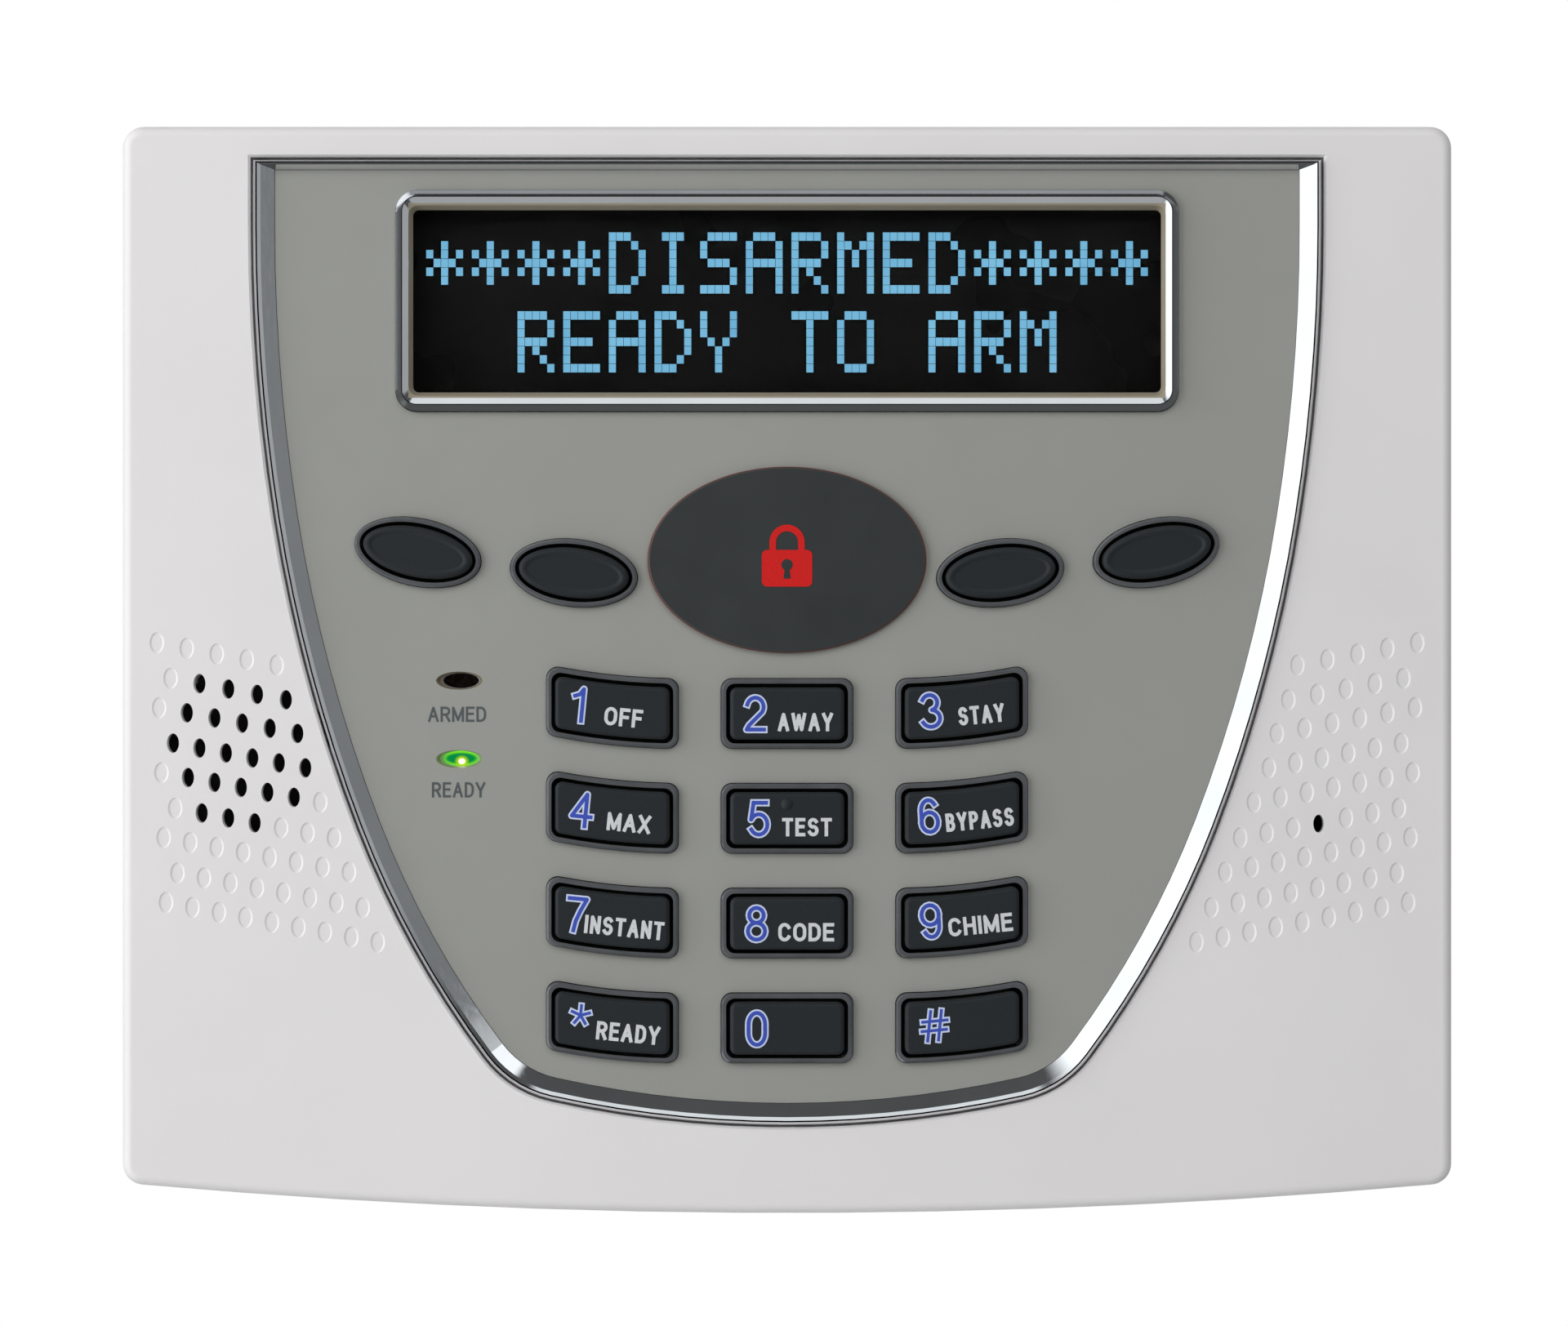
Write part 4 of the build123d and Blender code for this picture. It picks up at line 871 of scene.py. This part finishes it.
def shackle_outline(centre_x, foot_z):
    """The outline of a padlock's shackle: two legs and a half circle."""
    top_z = foot_z + SHACKLE_LEG
    inner_r = SHACKLE_R - SHACKLE_BAR
    outer = bow(centre_x, top_z, SHACKLE_R, SHACKLE_R, 0, 180, steps=18)
    inner = bow(centre_x, top_z, inner_r, inner_r, 180, 0, steps=18)
    return [(centre_x + SHACKLE_R, foot_z), *outer, (centre_x - SHACKLE_R, foot_z),
            (centre_x - inner_r, foot_z), *inner, (centre_x + inner_r, foot_z)]


def make_emblem(finishes):
    """A plain red padlock sign on the oval plate, with its keyhole in the plate's colour."""
    centre = centre_of("emblem_plate")
    x = centre.x
    z = centre.z - LOCK_DROP
    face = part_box("emblem_plate")[0].y
    body = rounded_outline(x, z, LOCK_W, LOCK_H, LOCK_CORNER_R)
    shackle = shackle_outline(x, z + LOCK_H / 2)
    sign_mesh = prism_mesh("padlock_sign", [body, shackle], face, face - SIGN_T)
    add_piece("padlock_sign", sign_mesh, finishes["ink_red"], "front")

    def fill_keyhole(work):
        add_prism(work, disc_outline(x, z + KEYHOLE_Z, KEYHOLE_R, steps=24), face, face - KEYHOLE_T)
        top_w, top_z = SLOT_TOP
        foot_w, foot_z = SLOT_FOOT
        slot = [(x - top_w, z + top_z), (x - foot_w, z + foot_z),
                (x + foot_w, z + foot_z), (x + top_w, z + top_z)]
        add_prism(work, slot, face, face - SLOT_T)

    keyhole_mesh = mesh_of("padlock_keyhole", fill_keyhole)
    add_piece("padlock_keyhole", keyhole_mesh, finishes["emblem"], "front")


# ---------------------------------------------------------------- studio
SENSOR_W = 36                    # in mm, as a camera takes it
CAMERA_DISTANCE = 0.62           # from the case's front
FRAME_SHARE = 1.1782             # the picture's width over the object's
FRAME_SHIFT = (-0.4 * MM, 0.9 * MM)       # the picture's middle, right of and above the object's
LOOK_AT = (0, 0, 0)
FLOOR_R = 0.42
FLOOR_DROP = 0.24                # below the object's lowest point


def make_camera():
    """Straight at the front, from a little over half a metre, framed as the object's portrait."""
    data = bpy.data.cameras.new("camera")
    camera = bpy.data.objects.new("camera", data)
    bpy.context.scene.collection.objects.link(camera)
    low, high = CAD_BOX
    middle = (low + high) / 2
    face_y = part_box("front_cover")[0].y
    frame_width = FRAME_SHARE * (high.x - low.x)
    data.sensor_width = SENSOR_W
    data.lens = data.sensor_width * CAMERA_DISTANCE / frame_width
    shift_x, shift_z = FRAME_SHIFT
    camera.location = (middle.x + shift_x, face_y - CAMERA_DISTANCE, middle.z + shift_z)
    camera.rotation_euler = (math.radians(90), 0, 0)
    bpy.context.scene.camera = camera


def add_softbox(name, place, target, width, height, power):
    """A rectangular light aimed at a point, which polished pieces don't reflect."""
    data = bpy.data.lights.new(name, "AREA")
    data.shape = "RECTANGLE"
    data.size = width
    data.size_y = height
    data.energy = power
    light = bpy.data.objects.new(name, data)
    bpy.context.scene.collection.objects.link(light)
    light.location = place
    light.rotation_mode = "QUATERNION"
    light.rotation_quaternion = (Vector(target) - Vector(place)).to_track_quat("-Z", "Y")
    light.visible_glossy = False


def make_lights():
    """A big softbox to the left, a weak fill from above and in front, and one behind for the back."""
    add_softbox("left_softbox", (-0.62, -0.36, 0.10), (0, -0.02, 0), 0.75, 0.9, 4.9)
    add_softbox("front_fill", (0.2, -0.85, 0.6), LOOK_AT, 0.7, 0.7, 3.5)
    add_softbox("rear_softbox", (0.35, 0.8, 0.3), LOOK_AT, 0.7, 0.7, 5.0)


# What polished pieces see round the studio, instead of the lights: direction, half-angle in degrees
# and brightness.
REFLECTORS = [
    ((-0.90, -0.44, 0.0), 52, 1.3),       # the left softbox, which wraps round toward the camera
    ((0.0, -0.75, 0.66), 16, 0.85),       # a reflector above the camera
    ((0.71, -0.71, 0.0), 22, 0.4),        # a dim one to its right
    ((0.0, -0.71, -0.71), 24, 0.42),      # the table in front
    ((0.66, -0.36, 0.66), 12, 1.2),       # a small strip at the upper right
    ((0.83, -0.36, 0.42), 26, 0.22),      # its spill down the right-hand wall
]
LOBE_EDGES = (0.7, 1.1)                   # a reflector fades out between these shares of its half-angle
STUDIO_FILL = 0.25                        # the even light on everything
STUDIO_DARK = 0.085                       # what polished pieces see between the reflectors
STUDIO_TINT = (0.93, 0.98, 1.0, 1.0)
REFLECTOR_SPAN = (74, 86)                 # the reflectors end between these angles from the camera
CAMERA_HOLE = (14, 20)                    # the dark round the camera ends between these angles
REAR_SPAN = (55, 82)                      # how far round from straight behind the wall side is lit
REAR_BRIGHT = 0.55


def make_world():
    """White behind the object, an even dim light round it, and reflectors for polished pieces."""
    world = bpy.data.worlds.new("studio")
    bpy.context.scene.world = world
    world.use_nodes = True
    tree = world.node_tree
    tree.nodes.clear()

    def nearness(direction, inner, outer):
        """1 within inner degrees of a direction, falling to 0 at outer."""
        dot = add_node(tree, "ShaderNodeVectorMath", operation="DOT_PRODUCT")
        tree.links.new(place.outputs["Generated"], dot.inputs[0])
        dot.inputs[1].default_value = Vector(direction).normalized()
        reach = add_node(tree, "ShaderNodeMapRange", interpolation_type="SMOOTHSTEP")
        tree.links.new(dot.outputs["Value"], reach.inputs[0])
        reach.inputs[1].default_value = math.cos(math.radians(outer))
        reach.inputs[2].default_value = math.cos(math.radians(inner))
        return reach.outputs[0]

    def combine(operation, first, second):
        """A sum done on two numbers."""
        made = add_node(tree, "ShaderNodeMath", operation=operation)
        feed(tree, first, made.inputs[0])
        feed(tree, second, made.inputs[1])
        return made.outputs[0]

    def background(strength, colour=(1, 1, 1, 1)):
        """Light of a colour and strength from all round."""
        made = add_node(tree, "ShaderNodeBackground")
        made.inputs["Color"].default_value = colour
        feed(tree, strength, made.inputs["Strength"])
        return made.outputs[0]

    def choose(amount, first, second):
        """The first background where amount is 0, the second where it is 1."""
        made = add_node(tree, "ShaderNodeMixShader")
        for socket, value in zip(made.inputs, (amount, first, second)):
            tree.links.new(value, socket)
        return made.outputs[0]

    place = add_node(tree, "ShaderNodeTexCoord")
    path = add_node(tree, "ShaderNodeLightPath")
    bright = STUDIO_DARK
    for direction, angle, strength in REFLECTORS:
        lobe = nearness(direction, *(share * angle for share in LOBE_EDGES))
        bright = combine("MAXIMUM", combine("MULTIPLY", lobe, strength), bright)
    bright = combine("MULTIPLY", bright, nearness((0, -1, 0), *REFLECTOR_SPAN))
    bright = combine("MAXIMUM", bright, STUDIO_DARK)
    rear = combine("MULTIPLY", nearness((0, 1, 0), *REAR_SPAN), REAR_BRIGHT)
    bright = combine("MAXIMUM", bright, rear)
    hole = nearness((0, -1, 0), *CAMERA_HOLE)
    bright = combine("MULTIPLY", bright, combine("SUBTRACT", 1.0, hole))
    lit = choose(path.outputs["Is Glossy Ray"], background(STUDIO_FILL), background(bright, STUDIO_TINT))
    shown = choose(path.outputs["Is Camera Ray"], lit, background(1.0))
    output = add_node(tree, "ShaderNodeOutputWorld")
    tree.links.new(shown, output.inputs["Surface"])


def make_floor():
    """A plain pale floor, well below the panel."""
    finish = moulded_plastic("floor_paint", tone(236, 236, 236), tone(230, 230, 230), 0.7, 3 * MM, 0.02 * MM)

    def fill(work):
        bmesh.ops.create_circle(work, cap_ends=True, segments=96, radius=FLOOR_R)

    mesh = mesh_of("floor", fill)
    mesh.transform(Matrix.Translation((0, 0, CAD_BOX[0].z - FLOOR_DROP)))
    mesh.materials.append(finish.material)
    floor = bpy.data.objects.new("floor", mesh)
    bpy.context.scene.collection.objects.link(floor)
    floor.visible_glossy = False


# ---------------------------------------------------------------- the whole scene
bpy.context.scene.view_settings.view_transform = "Standard"
make_camera()
make_world()
make_lights()
make_floor()
FINISHES = make_finishes()
dress_cad_pieces(FINISHES)
make_key_legends(FINISHES)
make_lamp_labels(FINISHES)
make_display_dots(FINISHES)
make_emblem(FINISHES)
make_board_parts(FINISHES)
make_contact_pills(FINISHES)
